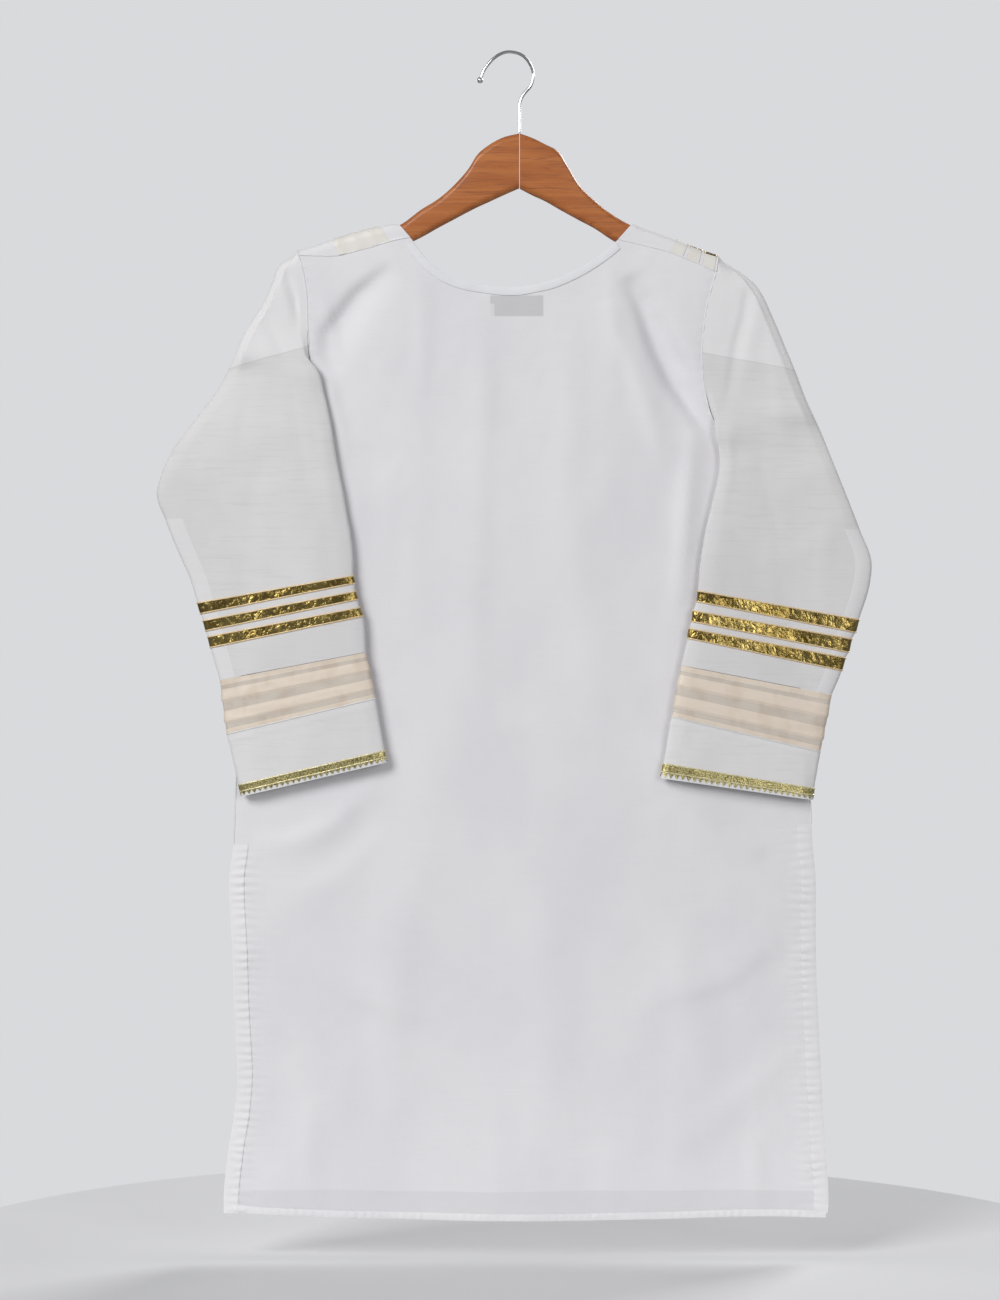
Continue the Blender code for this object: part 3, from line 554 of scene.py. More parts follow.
def refined(rows, pieces):
    """Rows of points with smooth rows put between them, and each row's place in the old ones."""
    reach = []
    for a, b in zip(rows, rows[1:]):
        reach.append(max(sum((Vector(q) - Vector(p)).length for p, q in zip(a, b)) / len(a), 0.5))
    out, places = [], []
    for i in range(len(rows) - 1):
        for step in range(pieces):
            f = step / pieces
            weights = (2 * f**3 - 3 * f**2 + 1, f**3 - 2 * f**2 + f, 3 * f**2 - 2 * f**3, f**3 - f**2)
            row = []
            for c in range(len(rows[i])):
                p1, p2 = Vector(rows[i][c]), Vector(rows[i + 1][c])
                start = end = (p2 - p1)
                if i > 0:
                    before = (p1 - Vector(rows[i - 1][c])) * (reach[i] / reach[i - 1])
                    share = reach[i - 1] / (reach[i - 1] + reach[i])
                    start = start.lerp(before, 1 - share)
                if i < len(rows) - 2:
                    after = (Vector(rows[i + 2][c]) - p2) * (reach[i] / reach[i + 1])
                    share = reach[i + 1] / (reach[i] + reach[i + 1])
                    end = end.lerp(after, 1 - share)
                row.append(p1 * weights[0] + start * weights[1] + p2 * weights[2] + end * weights[3])
            out.append(row)
            places.append(i + f)
    out.append([Vector(p) for p in rows[-1]])
    places.append(len(rows) - 1)
    return out, places


def normals_of(points, faces):
    """Unit direction at each point, outward as the faces wind."""
    sums = [Vector() for _ in points]
    for face in faces:
        a, b, c, d = (points[i] for i in face)
        normal = (c - a).cross(d - b)
        for i in face:
            sums[i] += normal
    return [s.normalized() for s in sums]


def lifted(points, faces, lift):
    """Points moved outward, by one distance or by a distance for each point."""
    ways = normals_of(points, faces)
    if not isinstance(lift, list):
        lift = [lift] * len(points)
    return [p + w * d for p, w, d in zip(points, ways, lift)]


def shell(name, points, faces, mat, thick, nodes=()):
    """Thin closed shell of cloth round a surface, put in place of its solids."""
    ways = normals_of(points, faces)
    count = len(points)
    skin = [p + w * (thick / 2) for p, w in zip(points, ways)]
    skin += [p - w * (thick / 2) for p, w in zip(points, ways)]
    solid = [tuple(f) for f in faces]
    solid += [tuple(i + count for i in reversed(f)) for f in faces]
    edges = set()
    for f in faces:
        edges.update(zip(f, f[1:] + f[:1]))
    solid += [(b, a, a + count, b + count) for a, b in sorted(edges) if (b, a) not in edges]
    return placed(name, smooth_mesh(name, [p * MM for p in skin], solid, 50), mat, nodes)


def smooth_mesh(name, points, faces, sharp_angle=None):
    """Mesh with smooth shading, and sharp edges where it turns by more than an angle."""
    mesh = bpy.data.meshes.new(name)
    mesh.from_pydata(points, [], faces)
    mesh.shade_smooth()
    if sharp_angle:
        mesh.set_sharp_from_angle(angle=math.radians(sharp_angle))
    return mesh


def second_look(obj, mat, chosen, count):
    """Give a second material to the chosen ones of a shell's faces, outside and inside."""
    obj.data.materials.append(mats[mat])
    for k in range(count):
        if chosen(k):
            obj.data.polygons[k].material_index = 1
            obj.data.polygons[k + count].material_index = 1


def flat_list(rows):
    return [p for row in rows for p in row]


def placed(name, mesh, mat, nodes=()):
    """Piece with its material and its body, in place of the solids that it stands for."""
    obj = bpy.data.objects.new(name, mesh)
    mesh.materials.append(mats[mat])
    bpy.context.scene.collection.objects.link(obj)
    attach(obj, "root")
    if nodes:
        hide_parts(*nodes)
    return obj


def crease_lift(creases, x, drop):
    """Height of the creases at a place. Each is a line with a width on either side."""
    total = 0.0
    for line, left_width, right_width, height in creases:
        best = None
        legs = len(line) - 1
        for k in range(legs):
            (x0, d0), (x1, d1) = line[k], line[k + 1]
            length = math.dist((x0, d0), (x1, d1))
            along = ((x - x0) * (x1 - x0) + (drop - d0) * (d1 - d0)) / length**2
            held = min(max(along, 0.0), 1.0)
            off = math.dist((x, drop), (mix(x0, x1, held), mix(d0, d1, held)))
            if best is None or off < best[0]:
                side = (x - x0) * (d1 - d0) - (drop - d0) * (x1 - x0)
                best = (off, side, (k + held) / legs)
        width = right_width if best[1] > 0 else left_width
        if best[0] < 3 * width:
            total += height * math.sin(math.pi * best[2]) ** 0.6 * math.exp(-(best[0] / width) ** 2)
    return total


def wander(x, drop, pitch_x, pitch_drop, seed):
    """Soft noise from -1 to 1 with its own pitch each way, in millimetres."""
    return noise.noise(Vector((x / pitch_x, drop / pitch_drop, seed)))


def fade(value, start, end):
    """0 at start and 1 at end, soft at both."""
    f = min(max((value - start) / (end - start), 0.0), 1.0)
    return f * f * (3 - 2 * f)


# Creases as they hang: line of (x, drop), width to its left, width to its right, height
CREASE_GAIN = 3.0
BACK_CREASES = (
    (((112, 216), (125, 240), (139, 280), (157, 318), (179, 345), (204, 372)), 8, 14, -3.4),
    (((140, 250), (158, 290), (178, 318), (198, 340)), 7, 7, -1.0),
    (((92, 240), (112, 290), (132, 340), (150, 400)), 8, 14, 1.2),
    (((176, 362), (170, 410), (165, 470), (161, 530)), 5, 16, 1.7),
    (((-112, 205), (-146, 232), (-178, 272), (-188, 306)), 6, 16, -2.0),
    (((-188, 285), (-172, 330), (-163, 372), (-160, 450)), 12, 7, 1.0),
    (((-186, 232), (-170, 262), (-166, 300)), 7, 5, 0.7),
    (((-92, 200), (-84, 260), (-86, 330)), 9, 12, 0.5),
    (((98, 200), (96, 250), (104, 330)), 12, 8, 0.5),
    (((-30, 232), (-26, 330), (-34, 520), (-30, 700)), 20, 12, 0.7),
    (((48, 236), (56, 360), (46, 520)), 14, 22, 0.6),
    (((-128, 700), (-170, 742), (-214, 760), (-248, 762)), 9, 16, 0.9),
    (((-120, 742), (-160, 790), (-212, 818)), 12, 18, 0.7),
    (((150, 716), (196, 752), (246, 772)), 14, 9, 0.9),
    (((110, 600), (150, 690), (206, 742)), 18, 12, 0.7),
    (((-70, 560), (-10, 640), (70, 668)), 20, 30, 0.6),
    (((-210, 860), (-150, 905), (-60, 930)), 16, 26, 0.8),
    (((-252, 900), (-200, 950), (-150, 1020)), 12, 20, 0.6),
    (((262, 850), (200, 892), (120, 915)), 22, 12, 0.8),
    (((270, 960), (214, 1010), (150, 1060)), 16, 16, 0.6),
    (((-90, 760), (-112, 900), (-100, 1060)), 26, 16, 0.9),
    (((24, 800), (40, 930), (30, 1080)), 22, 30, 0.8),
    (((160, 820), (172, 950), (160, 1086)), 16, 24, 0.8),
    (((-190, 1000), (-196, 1060), (-188, 1112)), 10, 14, 0.6),
    (((-14, 1040), (-10, 1118)), 12, 12, 0.6),
    (((92, 1050), (100, 1118)), 10, 14, 0.5),
    (((236, 1040), (240, 1114)), 12, 8, 0.6),
)
FRONT_CREASES = (
    (((-120, 210), (-150, 260), (-182, 330), (-206, 380)), 8, 16, -1.4),
    (((124, 216), (150, 268), (176, 330), (204, 372)), 16, 7, -1.5),
    (((-64, 270), (-90, 380), (-104, 520)), 12, 18, 0.9),
    (((70, 268), (96, 380), (112, 540)), 18, 10, 1.0),
    (((0, 292), (6, 420), (-8, 640)), 18, 18, 0.6),
    (((-236, 440), (-190, 520), (-150, 640)), 10, 18, 0.8),
    (((238, 440), (196, 520), (160, 650)), 16, 10, 0.9),
    (((-180, 620), (-196, 760), (-184, 900)), 18, 12, 0.9),
    (((-70, 640), (-60, 820), (-76, 1040)), 20, 24, 0.9),
    (((50, 600), (66, 800), (58, 1020)), 24, 16, 0.9),
    (((190, 680), (208, 850), (196, 1040)), 14, 22, 0.9),
    (((-240, 850), (-170, 900), (-80, 925)), 18, 12, 0.7),
    (((270, 840), (190, 900), (90, 940)), 12, 22, 0.7),
    (((-130, 1000), (-136, 1114)), 12, 16, 0.7),
    (((120, 1020), (128, 1116)), 14, 10, 0.6),
)
LEFT_SLEEVE_CREASES = (
    (((-220, 196), (-207, 235), (-201.6, 250), (-201, 268)), 5, 3, -1.6),
    (((-226, 204), (-215, 240), (-209, 262)), 7, 5, 1.1),
    (((-241, 246), (-228, 270), (-214, 296)), 5, 8, -1.3),
    (((-211, 320), (-203.5, 355), (-195, 400), (-190, 430)), 8, 4, -1.1),
    (((-182, 350), (-176, 400), (-172, 460)), 4, 7, 0.8),
    (((-252, 262), (-262, 330), (-276, 400)), 10, 7, 0.8),
    (((-300, 400), (-262, 418), (-214, 420)), 10, 14, 0.7),
    (((-322, 430), (-280, 470), (-232, 492)), 14, 9, 0.9),
    (((-292, 440), (-270, 500), (-262, 545)), 12, 8, 0.7),
    (((-228, 430), (-216, 480), (-212, 520)), 12, 12, -0.6),
    (((-190, 440), (-186, 500), (-180, 530)), 6, 9, 0.6),
    (((-250, 556), (-246, 590), (-240, 600)), 10, 10, 0.4),
)
RIGHT_SLEEVE_CREASES = (
    (((232, 210), (227.5, 232), (224.6, 254), (217, 280), (211, 320), (203.5, 348)), 4, 7, -1.5),
    (((240, 216), (237, 250), (229, 290), (220, 330)), 6, 9, 1.0),
    (((252, 262), (256, 320), (262, 380)), 7, 10, 0.7),
    (((214, 350), (206, 398), (201, 440)), 3, 7, 0.8),
    (((300, 400), (262, 424), (222, 432)), 14, 10, 0.7),
    (((330, 440), (290, 474), (244, 496)), 9, 14, 0.9),
    (((308, 430), (300, 490), (296, 540)), 8, 12, 0.7),
    (((240, 440), (234, 490), (238, 530)), 12, 12, -0.6),
    (((206, 450), (202, 500), (200, 526)), 9, 6, 0.6),
)
# Lower edges of the opaque layers at the sleeve caps: ends as (x, drop)
CAP_EDGE_LEFT = ((-268, 303), (-216, 288.5))
CAP_EDGE_RIGHT = ((226.5, 296), (270, 304))
# Turned hems: width of the strip beside each slit and along the bottom, and where the slits' strips
# end and begin
SLIT_HEM = 14.0
BOTTOM_HEM = 6.5
SLIT_END = 1116
SLIT_TOP_LEFT = 762
SLIT_TOP_RIGHT = 742
# Each side: its name, its edge, the way inward, where its slit begins
SLITS = (("left", SIDE_LEFT, 1, SLIT_TOP_LEFT), ("right", SIDE_RIGHT, -1, SLIT_TOP_RIGHT))
# Rows at the shoulder fold where each of the three ribbons still shows its gold
GOLD_AT_FOLD = (0, 2, 3)
# Distance between stitches, and the half length, half width and height of one
STITCH_PITCH = 3.1
STITCH = (1.05, 0.28, 0.22)


def pucker(along, x, drop, seed):
    """0 to 1: small uneven puckers along a seam."""
    wave = 0.5 + 0.5 * math.sin(along / 1.28 + 2.6 * wander(x, drop, 30, 17, seed))
    return wave * (0.3 + 0.9 * abs(wander(x, drop, 60, 34, seed + 5)))


def inside_sides(x, drop):
    """Distance to the nearer side of the body."""
    return min(x - through(SIDE_LEFT, drop), through(SIDE_RIGHT, drop) - x)


def hem_lift(x, drop, seed):
    """Beside the turned hems: a dent along the stitches and puckers that run inward from it."""
    top = SLIT_TOP_LEFT if x < 0 else SLIT_TOP_RIGHT
    inside = inside_sides(x, drop)
    began = fade(drop, top - 12, top + 14)
    lift = 0.0
    if began > 0 and inside < 3 * SLIT_HEM:
        near = math.exp(-((inside - SLIT_HEM) / (12.0 if inside > SLIT_HEM else 5.0)) ** 2)
        lift += began * 2.1 * near * pucker(drop, x, drop, seed)
    up = through(HEM, x) - drop
    if up < 3 * BOTTOM_HEM:
        lift += 0.5 * math.exp(-((up - BOTTOM_HEM) / 3.2) ** 2) * pucker(x, x, drop, seed + 9)
    return lift


def seam_pucker(x, drop, side, seed):
    """Small puckers beside an armhole seam."""
    table = SIDE_LEFT if side < 0 else SIDE_RIGHT
    if drop > UNDERARM_DROP:
        return 0.0
    off = abs(x - through(table, drop))
    wave = math.sin(drop / 1.9 + 2.0 * wander(x, drop, 30, 14, seed))
    return 0.32 * wave * math.exp(-(off / 7) ** 2) - 0.35 * math.exp(-(off / 2.2) ** 2)


def body_lift(panel, x, drop):
    """All that is worked into a body panel, faded where its edge meets another piece."""
    seed = panel.seed
    free = fade(inside_sides(x, drop), -2, 26)
    soft = 1.1 * wander(x, drop, 70, 150, seed) + 0.6 * wander(x, drop, 26, 60, seed + 3)
    soft += 0.26 * wander(x, drop, 11, 17, seed + 7)
    wavy = 1.3 * fade(drop, 980, 1118) * wander(x, 0, 62, 1, seed + 20)
    lift = (CREASE_GAIN * crease_lift(panel.creases, x, drop) + soft + wavy) * free
    return lift + hem_lift(x, drop, seed) + seam_pucker(x, drop, -1 if x < 0 else 1, seed)


# Materials
def darker(colour, share):
    return tuple(share * c for c in colour)


class Finish:
    """A material under construction, and the nodes that lead to its shader."""

    def __init__(self, name, roughness, **inputs):
        self.mat = bpy.data.materials.new(name)
        self.mat.use_nodes = True
        self.tree = self.mat.node_tree
        self.shader = self.tree.nodes["Principled BSDF"]
        for socket, value in {"Roughness": roughness, **inputs}.items():
            self.shader.inputs[socket.replace("_", " ")].default_value = value

    def node(self, kind, **sockets):
        """New node, with its inputs joined to other nodes or set to values."""
        part = self.tree.nodes.new(f"ShaderNode{kind}")
        for name, value in sockets.items():
            self.fill(part.inputs[name.replace("_", " ")], value)
        return part

    def fill(self, socket, value):
        if isinstance(value, bpy.types.NodeSocket):
            self.tree.links.new(value, socket)
        elif isinstance(value, tuple) and socket.type == "RGBA":
            socket.default_value = (*value, 1.0)
        else:
            socket.default_value = value

    def noise(self, scale, detail=3.0, turn=0.0, distortion=0.0):
        """Noise over the object's own metres, with its own scale along each axis."""
        coords = self.node("TexCoord").outputs["Object"]
        mapping = self.node("Mapping", Scale=scale, Rotation=(0, turn, 0), Vector=coords)
        return self.node("TexNoise", Scale=1.0, Detail=detail, Distortion=distortion,
                         Vector=mapping.outputs["Vector"]).outputs["Fac"]

    def ranged(self, value, low, high, out_low=0.0, out_high=1.0):
        """Value mapped softly from one range to another."""
        part = self.tree.nodes.new("ShaderNodeMapRange")
        part.interpolation_type = "SMOOTHSTEP"
        for socket, number in zip(("From Min", "From Max", "To Min", "To Max", "Value"),
                                  (low, high, out_low, out_high, value)):
            self.fill(part.inputs[socket], number)
        return part.outputs["Result"]

    def maths(self, operation, a, b):
        part = self.tree.nodes.new("ShaderNodeMath")
        part.operation = operation
        for socket, value in zip(part.inputs, (a, b)):
            self.fill(socket, value)
        return part.outputs[0]

    def times(self, a, b):
        return self.maths("MULTIPLY", a, b)

    def plus(self, a, b):
        return self.maths("ADD", a, b)

    def coloured(self, share, first, second):
        """Mix of two colours, each a tuple or another node's output."""
        part = self.tree.nodes.new("ShaderNodeMix")
        part.data_type = "RGBA"
        for socket, value in zip((s for s in part.inputs if s.type == "RGBA"), (first, second)):
            self.fill(socket, value)
        self.tree.links.new(share, part.inputs[0])
        return next(s for s in part.outputs if s.type == "RGBA")

    def to(self, socket, value):
        self.tree.links.new(value, self.shader.inputs[socket])

    def bumped(self, height, strength, distance):
        part = self.node("Bump", Strength=strength, Distance=distance, Height=height)
        self.to("Normal", part.outputs["Normal"])

    def place(self):
        """The x and z outputs of the object's own metres."""
        split = self.node("SeparateXYZ", Vector=self.node("TexCoord").outputs["Object"])
        return split.outputs["X"], split.outputs["Z"]

    def window(self, value, low, high, soft):
        """1 between low and high, softly 0 outside."""
        rise = self.ranged(value, low - soft, low + soft)
        return self.times(rise, self.ranged(value, high - soft, high + soft, 1.0, 0.0))

    def weave(self, slub):
        """Height of a plain weave with thicker threads here and there, mostly across."""
        warp = self.noise((2600, 2600, 60), 2)
        weft = self.noise((45, 45, 2600), 2)
        slubs = self.noise((30, 30, 430), 2)
        uprights = self.noise((560, 560, 14), 2)
        height = self.plus(self.plus(warp, weft), self.times(slubs, slub))
        return self.plus(height, self.times(uprights, 0.6 * slub)), slubs


def label_shade_through(look, x, z, colour, light, shade):
    """Painted shade on the cloth where the label behind it blocks the light coming through, with its small
    tag lighter.
    """
    left, right, top, low = (v * MM for v in LABEL)
    patch = look.times(look.window(x, left, right, 0.0008), look.window(z, -low, -top, 0.0008))
    colour = look.coloured(look.times(patch, 0.62), colour, darker(shade, 0.66))
    tag = look.times(look.window(x, left - 0.0005, left + 0.004, 0.0005),
                     look.window(z, -low - 0.001, -top - 0.008, 0.0005))
    return look.coloured(look.times(tag, 0.6), colour, light)


def lined_top(look, x, z, colour, shade, edge, alpha):
    """Opaque cloth above a line from (x, drop) to (x, drop), where a second layer lies under it, with a
    painted shadow line along that layer's lower edge.
    """
    (x0, drop0), (x1, drop1) = edge
    fall = (drop1 - drop0) / (x1 - x0)
    level = look.plus(z, look.times(x, fall))
    at = (x0 * fall - drop0) * MM
    double = look.ranged(level, at - 0.0007, at + 0.0007)
    # Painted shadow: a thin darker line just below the second layer's lower edge
    rim = look.window(level, at - 0.0012, at, 0.0007)
    colour = look.coloured(look.times(double, 0.8), colour, LINED_WHITE)
    look.to("Alpha", look.ranged(double, 0.0, 1.0, alpha, 0.97))
    return look.coloured(look.times(rim, 0.35), colour, darker(shade, 0.86))


def hem_band_shade(look, z, colour, shade):
    """Painted shade in a band between the lining's edge and the hem, where the cloth is single and the dim
    hollow behind it shows through.
    """
    level = look.plus(z, look.times(look.noise((5, 5, 0.1), 1), 0.012))
    band = look.window(level, -1.1135, -LINING_HEM * MM + 0.004, 0.0009)
    look.to("Alpha", look.ranged(band, 0.0, 1.0, 1.0, 0.97))
    return look.coloured(look.times(band, 0.35), colour, darker(shade, 0.9))


def cotton(name, light, shade, slub=0.8, alpha=1.0, roughness=0.86, label=False, hem=False, lined=None):
    """Plain woven cotton."""
    look = Finish(name, roughness, Sheen_Weight=0.18, Alpha=alpha)
    height, slubs = look.weave(slub)
    colour = look.coloured(look.ranged(look.noise((9, 9, 6), 3), 0.35, 0.65), light, shade)
    thick = look.times(look.ranged(slubs, 0.5, 0.72), 0.24 * slub)
    colour = look.coloured(thick, colour, darker(shade, 0.93))
    x, z = look.place()
    # Painted shade of the label seen through the back cloth
    if label:
        colour = label_shade_through(look, x, z, colour, light, shade)
    # The doubled cloth above the cap layer's edge, and a painted shadow line below it
    if lined:
        colour = lined_top(look, x, z, colour, shade, lined, alpha)
    # Painted shade in the single cloth just above the hem
    if hem:
        colour = hem_band_shade(look, z, colour, shade)
    look.to("Base Color", colour)
    look.bumped(height, 0.22, 0.0004)
    return look.mat


def gold_foil(name):
    """Crinkled mirror-gold ribbon."""
    look = Finish(name, 0.16, Metallic=1.0)
    dents = look.noise((210, 210, 150), 4, distortion=0.6)
    wide = look.noise((46, 46, 30), 2)
    clouds = look.ranged(wide, 0.35, 0.65)
    look.to("Base Color", look.coloured(clouds, (0.24, 0.17, 0.05), (0.40, 0.30, 0.10)))
    look.to("Roughness", look.ranged(dents, 0.3, 0.7, 0.1, 0.3))
    look.bumped(look.plus(dents, wide), 0.7, 0.0016)
    return look.mat


def gold_thread(name, light, dark, roughness, metallic):
    """Twisted metallic yarn of cords and edging."""
    look = Finish(name, roughness, Metallic=metallic)
    twist = look.noise((900, 900, 900), 2)
    look.to("Base Color", look.coloured(look.ranged(twist, 0.35, 0.65), dark, light))
    look.bumped(twist, 0.6, 0.0005)
    return look.mat


def organza(name, alpha, light=(0.80, 0.715, 0.62), dark=(0.72, 0.61, 0.50)):
    """Sheer cream insertion, with a crisp shine."""
    look = Finish(name, 0.42, Sheen_Weight=0.3, Alpha=alpha)
    height, slubs = look.weave(0.4)
    colour = look.coloured(look.ranged(look.noise((70, 70, 50), 2), 0.45, 0.7), light, dark)
    look.to("Base Color", look.coloured(look.times(slubs, 0.3), colour, (0.84, 0.79, 0.72)))
    look.bumped(height, 0.2, 0.0004)
    return look.mat


def wood(name, turn):
    """Varnished wood with its grain along the arm."""
    look = Finish(name, 0.42, Coat_Weight=0.12, Coat_Roughness=0.22)
    grain = look.noise((16, 300, 300), 5, turn, 1.2)
    streaks = look.noise((5, 90, 90), 3, turn, 0.8)
    pores = look.noise((60, 1500, 1500), 2, turn)
    base = look.coloured(look.ranged(streaks, 0.3, 0.7), (0.52, 0.175, 0.045), (0.40, 0.118, 0.028))
    base = look.coloured(look.ranged(grain, 0.5, 0.72), base, (0.29, 0.082, 0.02))
    base = look.coloured(look.times(look.ranged(pores, 0.6, 0.7), 0.35), base, (0.17, 0.05, 0.015))
    look.to("Base Color", base)
    look.to("Roughness", look.ranged(grain, 0.3, 0.8, 0.3, 0.46))
    look.bumped(look.plus(grain, pores), 0.18, 0.0004)
    return look.mat


def chrome(name):
    look = Finish(name, 0.14, Metallic=1.0)
    smears = look.noise((120, 120, 120), 3)
    look.to("Base Color", look.coloured(smears, (0.62, 0.62, 0.64), (0.74, 0.74, 0.75)))
    look.to("Roughness", look.ranged(smears, 0.3, 0.7, 0.1, 0.22))
    return look.mat


def plaster(name, colour):
    look = Finish(name, 0.92)
    clouds = look.ranged(look.noise((3, 3, 3), 4), 0.3, 0.7)
    look.to("Base Color", look.coloured(clouds, colour, darker(colour, 0.965)))
    look.bumped(look.noise((220, 220, 220), 3), 0.08, 0.0006)
    return look.mat


WHITE = (0.80, 0.79, 0.81)
WHITE_SHADE = (0.765, 0.755, 0.78)
SHEER_WHITE = (0.83, 0.82, 0.822)
SHEER_SHADE = (0.79, 0.778, 0.782)
LINED_WHITE = (0.82, 0.81, 0.816)
mats = {
    # The back's cloth carries painted shade behind the label and in the band above the hem
    "back": cotton("back_cotton", WHITE, WHITE_SHADE, slub=0.35, label=True, hem=True),
    "front": cotton("front_cotton", WHITE, WHITE_SHADE, slub=0.35),
    "hem": cotton("hem_cotton", (0.84, 0.83, 0.845), (0.80, 0.79, 0.81), slub=0.3),
    "sleeve_left": cotton("sleeve_cotton_left", SHEER_WHITE, SHEER_SHADE, 1.6, 0.86, lined=CAP_EDGE_LEFT),
    "sleeve_right": cotton("sleeve_cotton_right", SHEER_WHITE, SHEER_SHADE, 1.6, 0.86, lined=CAP_EDGE_RIGHT),
    "sleeve_double": cotton("sleeve_cotton_double", LINED_WHITE, (0.80, 0.79, 0.795), slub=0.9, alpha=0.95),
    "cuff": cotton("cuff_cotton", SHEER_WHITE, SHEER_SHADE, slub=1.5, alpha=0.92),
    "lining": cotton("lining_cotton", (0.80, 0.80, 0.82), (0.76, 0.76, 0.79), slub=0.4),
    "binding": cotton("binding_cotton", (0.83, 0.83, 0.85), (0.79, 0.79, 0.82), slub=0.5),
    "organza": organza("cream_organza_sheer", 0.7),
    "tuck": organza("cream_organza_double", 0.92, (0.83, 0.715, 0.59), (0.77, 0.64, 0.51)),
    "pale": organza("pale_organza", 1.0, (0.80, 0.775, 0.73), (0.76, 0.725, 0.67)),
    "foil": gold_foil("gold_foil"),
    "cord": gold_thread("gold_cord", (0.90, 0.72, 0.44), (0.72, 0.52, 0.26), 0.42, 0.35),
    "lace": gold_thread("gold_lace", (0.70, 0.62, 0.30), (0.20, 0.16, 0.05), 0.3, 0.75),
    "lace_cord": gold_thread("gold_lace_cord", (0.95, 0.90, 0.62), (0.62, 0.52, 0.22), 0.3, 0.6),
    "label": cotton("label_weave", (0.42, 0.42, 0.44), (0.36, 0.36, 0.38), slub=0.3),
    "thread": cotton("stitch_thread", (0.87, 0.87, 0.88), (0.8, 0.8, 0.82), slub=0.3, roughness=0.6),
    "wood_left": wood("wood_left", math.radians(-31)),
    "wood_right": wood("wood_right", math.radians(31)),
    "chrome": chrome("chrome_wire_finish"),
}


# Body panels with their creases
BACK = Panel(back_point, BACK_CREASES, 3.0, -1)
FRONT = Panel(front_point, FRONT_CREASES, 31.0, 1)


def creased(panel, points):
    """Points of a body panel moved along Y by its creases."""
    return [Vector((p.x, p.y + panel.towards * body_lift(panel, p.x, -p.z), p.z)) for p in points]


def creased_point(panel, x, drop, proud=0.0):
    """Place on a panel's creased surface, or proud of it."""
    p = panel.point(x, drop)
    p.y += panel.towards * (body_lift(panel, x, drop) + proud)
    return p


def fine_rows(rows):
    """Panel rows of (x, drop) with rows put between those of the armholes."""
    table_rows = len(LEFT_HEAD)
    head = [[(x, drop, 0) for x, drop in row] for row in rows[:table_rows]]
    head, _ = refined(head, ROW_PIECES)
    return [[(p.x, p.y) for p in row] for row in head] + rows[table_rows:]


def build_back():
    top = spread(SEAM_LEFT, SHOULDER_STEPS)
    top += spread(NECK_BACK, NECK_STEPS_BACK)[1:]
    top += spread(SEAM_RIGHT, SHOULDER_STEPS)[1:]
    rows = fine_rows(panel_rows(top, hem_shares(*BACK_ROWS), SIDE_CROWDING))
    points = creased(BACK, [back_point(x, drop) for row in rows for x, drop in row])
    shell("back_panel", points, grid_faces(len(rows), len(top)), "back", CLOTH, ["back"])
    return points, len(top), len(rows)


def build_hem(name, panel, line, inward, width):
    """Turned hem: a strip along a line of (x, drop), from the cloth's edge inward, puckered across."""
    columns = 9
    points = []
    for k, (x0, drop0) in enumerate(line):
        began = fade(min(k, len(line) - 1 - k), -1, 6)
        for c in range(columns):
            share = c / (columns - 1)
            reach = mix(-0.35, width, share)
            x, drop = x0 + inward[0] * reach, drop0 + inward[1] * reach
            along = drop if inward[0] else x
            gathers = 0.25 + 1.15 * began * pucker(along, x, drop, panel.seed)
            puff = math.sin(math.pi * min(share, 0.97)) ** 0.6 * gathers
            points.append(creased_point(panel, x, drop, CLOTH / 2 + 0.3 + puff))
    flip = (inward[0] - inward[1]) * panel.towards > 0
    shell(name, points, grid_faces(len(line), columns, flip), "hem", CLOTH)


def build_hems(name, panel):
    """The hems of both slits and of the bottom edge of one panel."""
    for side, table, way, top in SLITS:
        line = [(through(table, d), d) for d in (mix(top, SLIT_END, i / 270) for i in range(271))]
        build_hem(f"{name}_slit_hem_{side}", panel, line, (way, 0), SLIT_HEM)
    xs = [mix(HEM[0][0] + 1, HEM[-1][0] - 1, i / 280) for i in range(281)]
    build_hem(f"{name}_bottom_hem", panel, [(x, through(HEM, x)) for x in xs], (0, -1), BOTTOM_HEM)


def ridge(name, line, shift, radius, mat="back", closed=False):
    """Seam between two pieces: a soft cord of cloth over their gap."""
    tube(name, [p + Vector(shift) for p in line], radius, mat, closed)


def build_ridges(name, points, columns, rows, strips=((), ())):
    """Seams down both sides of a panel, from the shoulder over the armhole to where the slit begins."""
    for (side, _, way, top), column, strip in zip(SLITS, (0, columns - 1), strips):
        over = [points[row[column and -1]] for row in strip]
        line = [points[r * columns + column] for r in range(rows)]
        line = over[:0:-1] + [p for p in line if -p.z < top]
        ridge(f"{name}_seam_{side}", line, (-0.2 * way, 0, 0), 0.85)


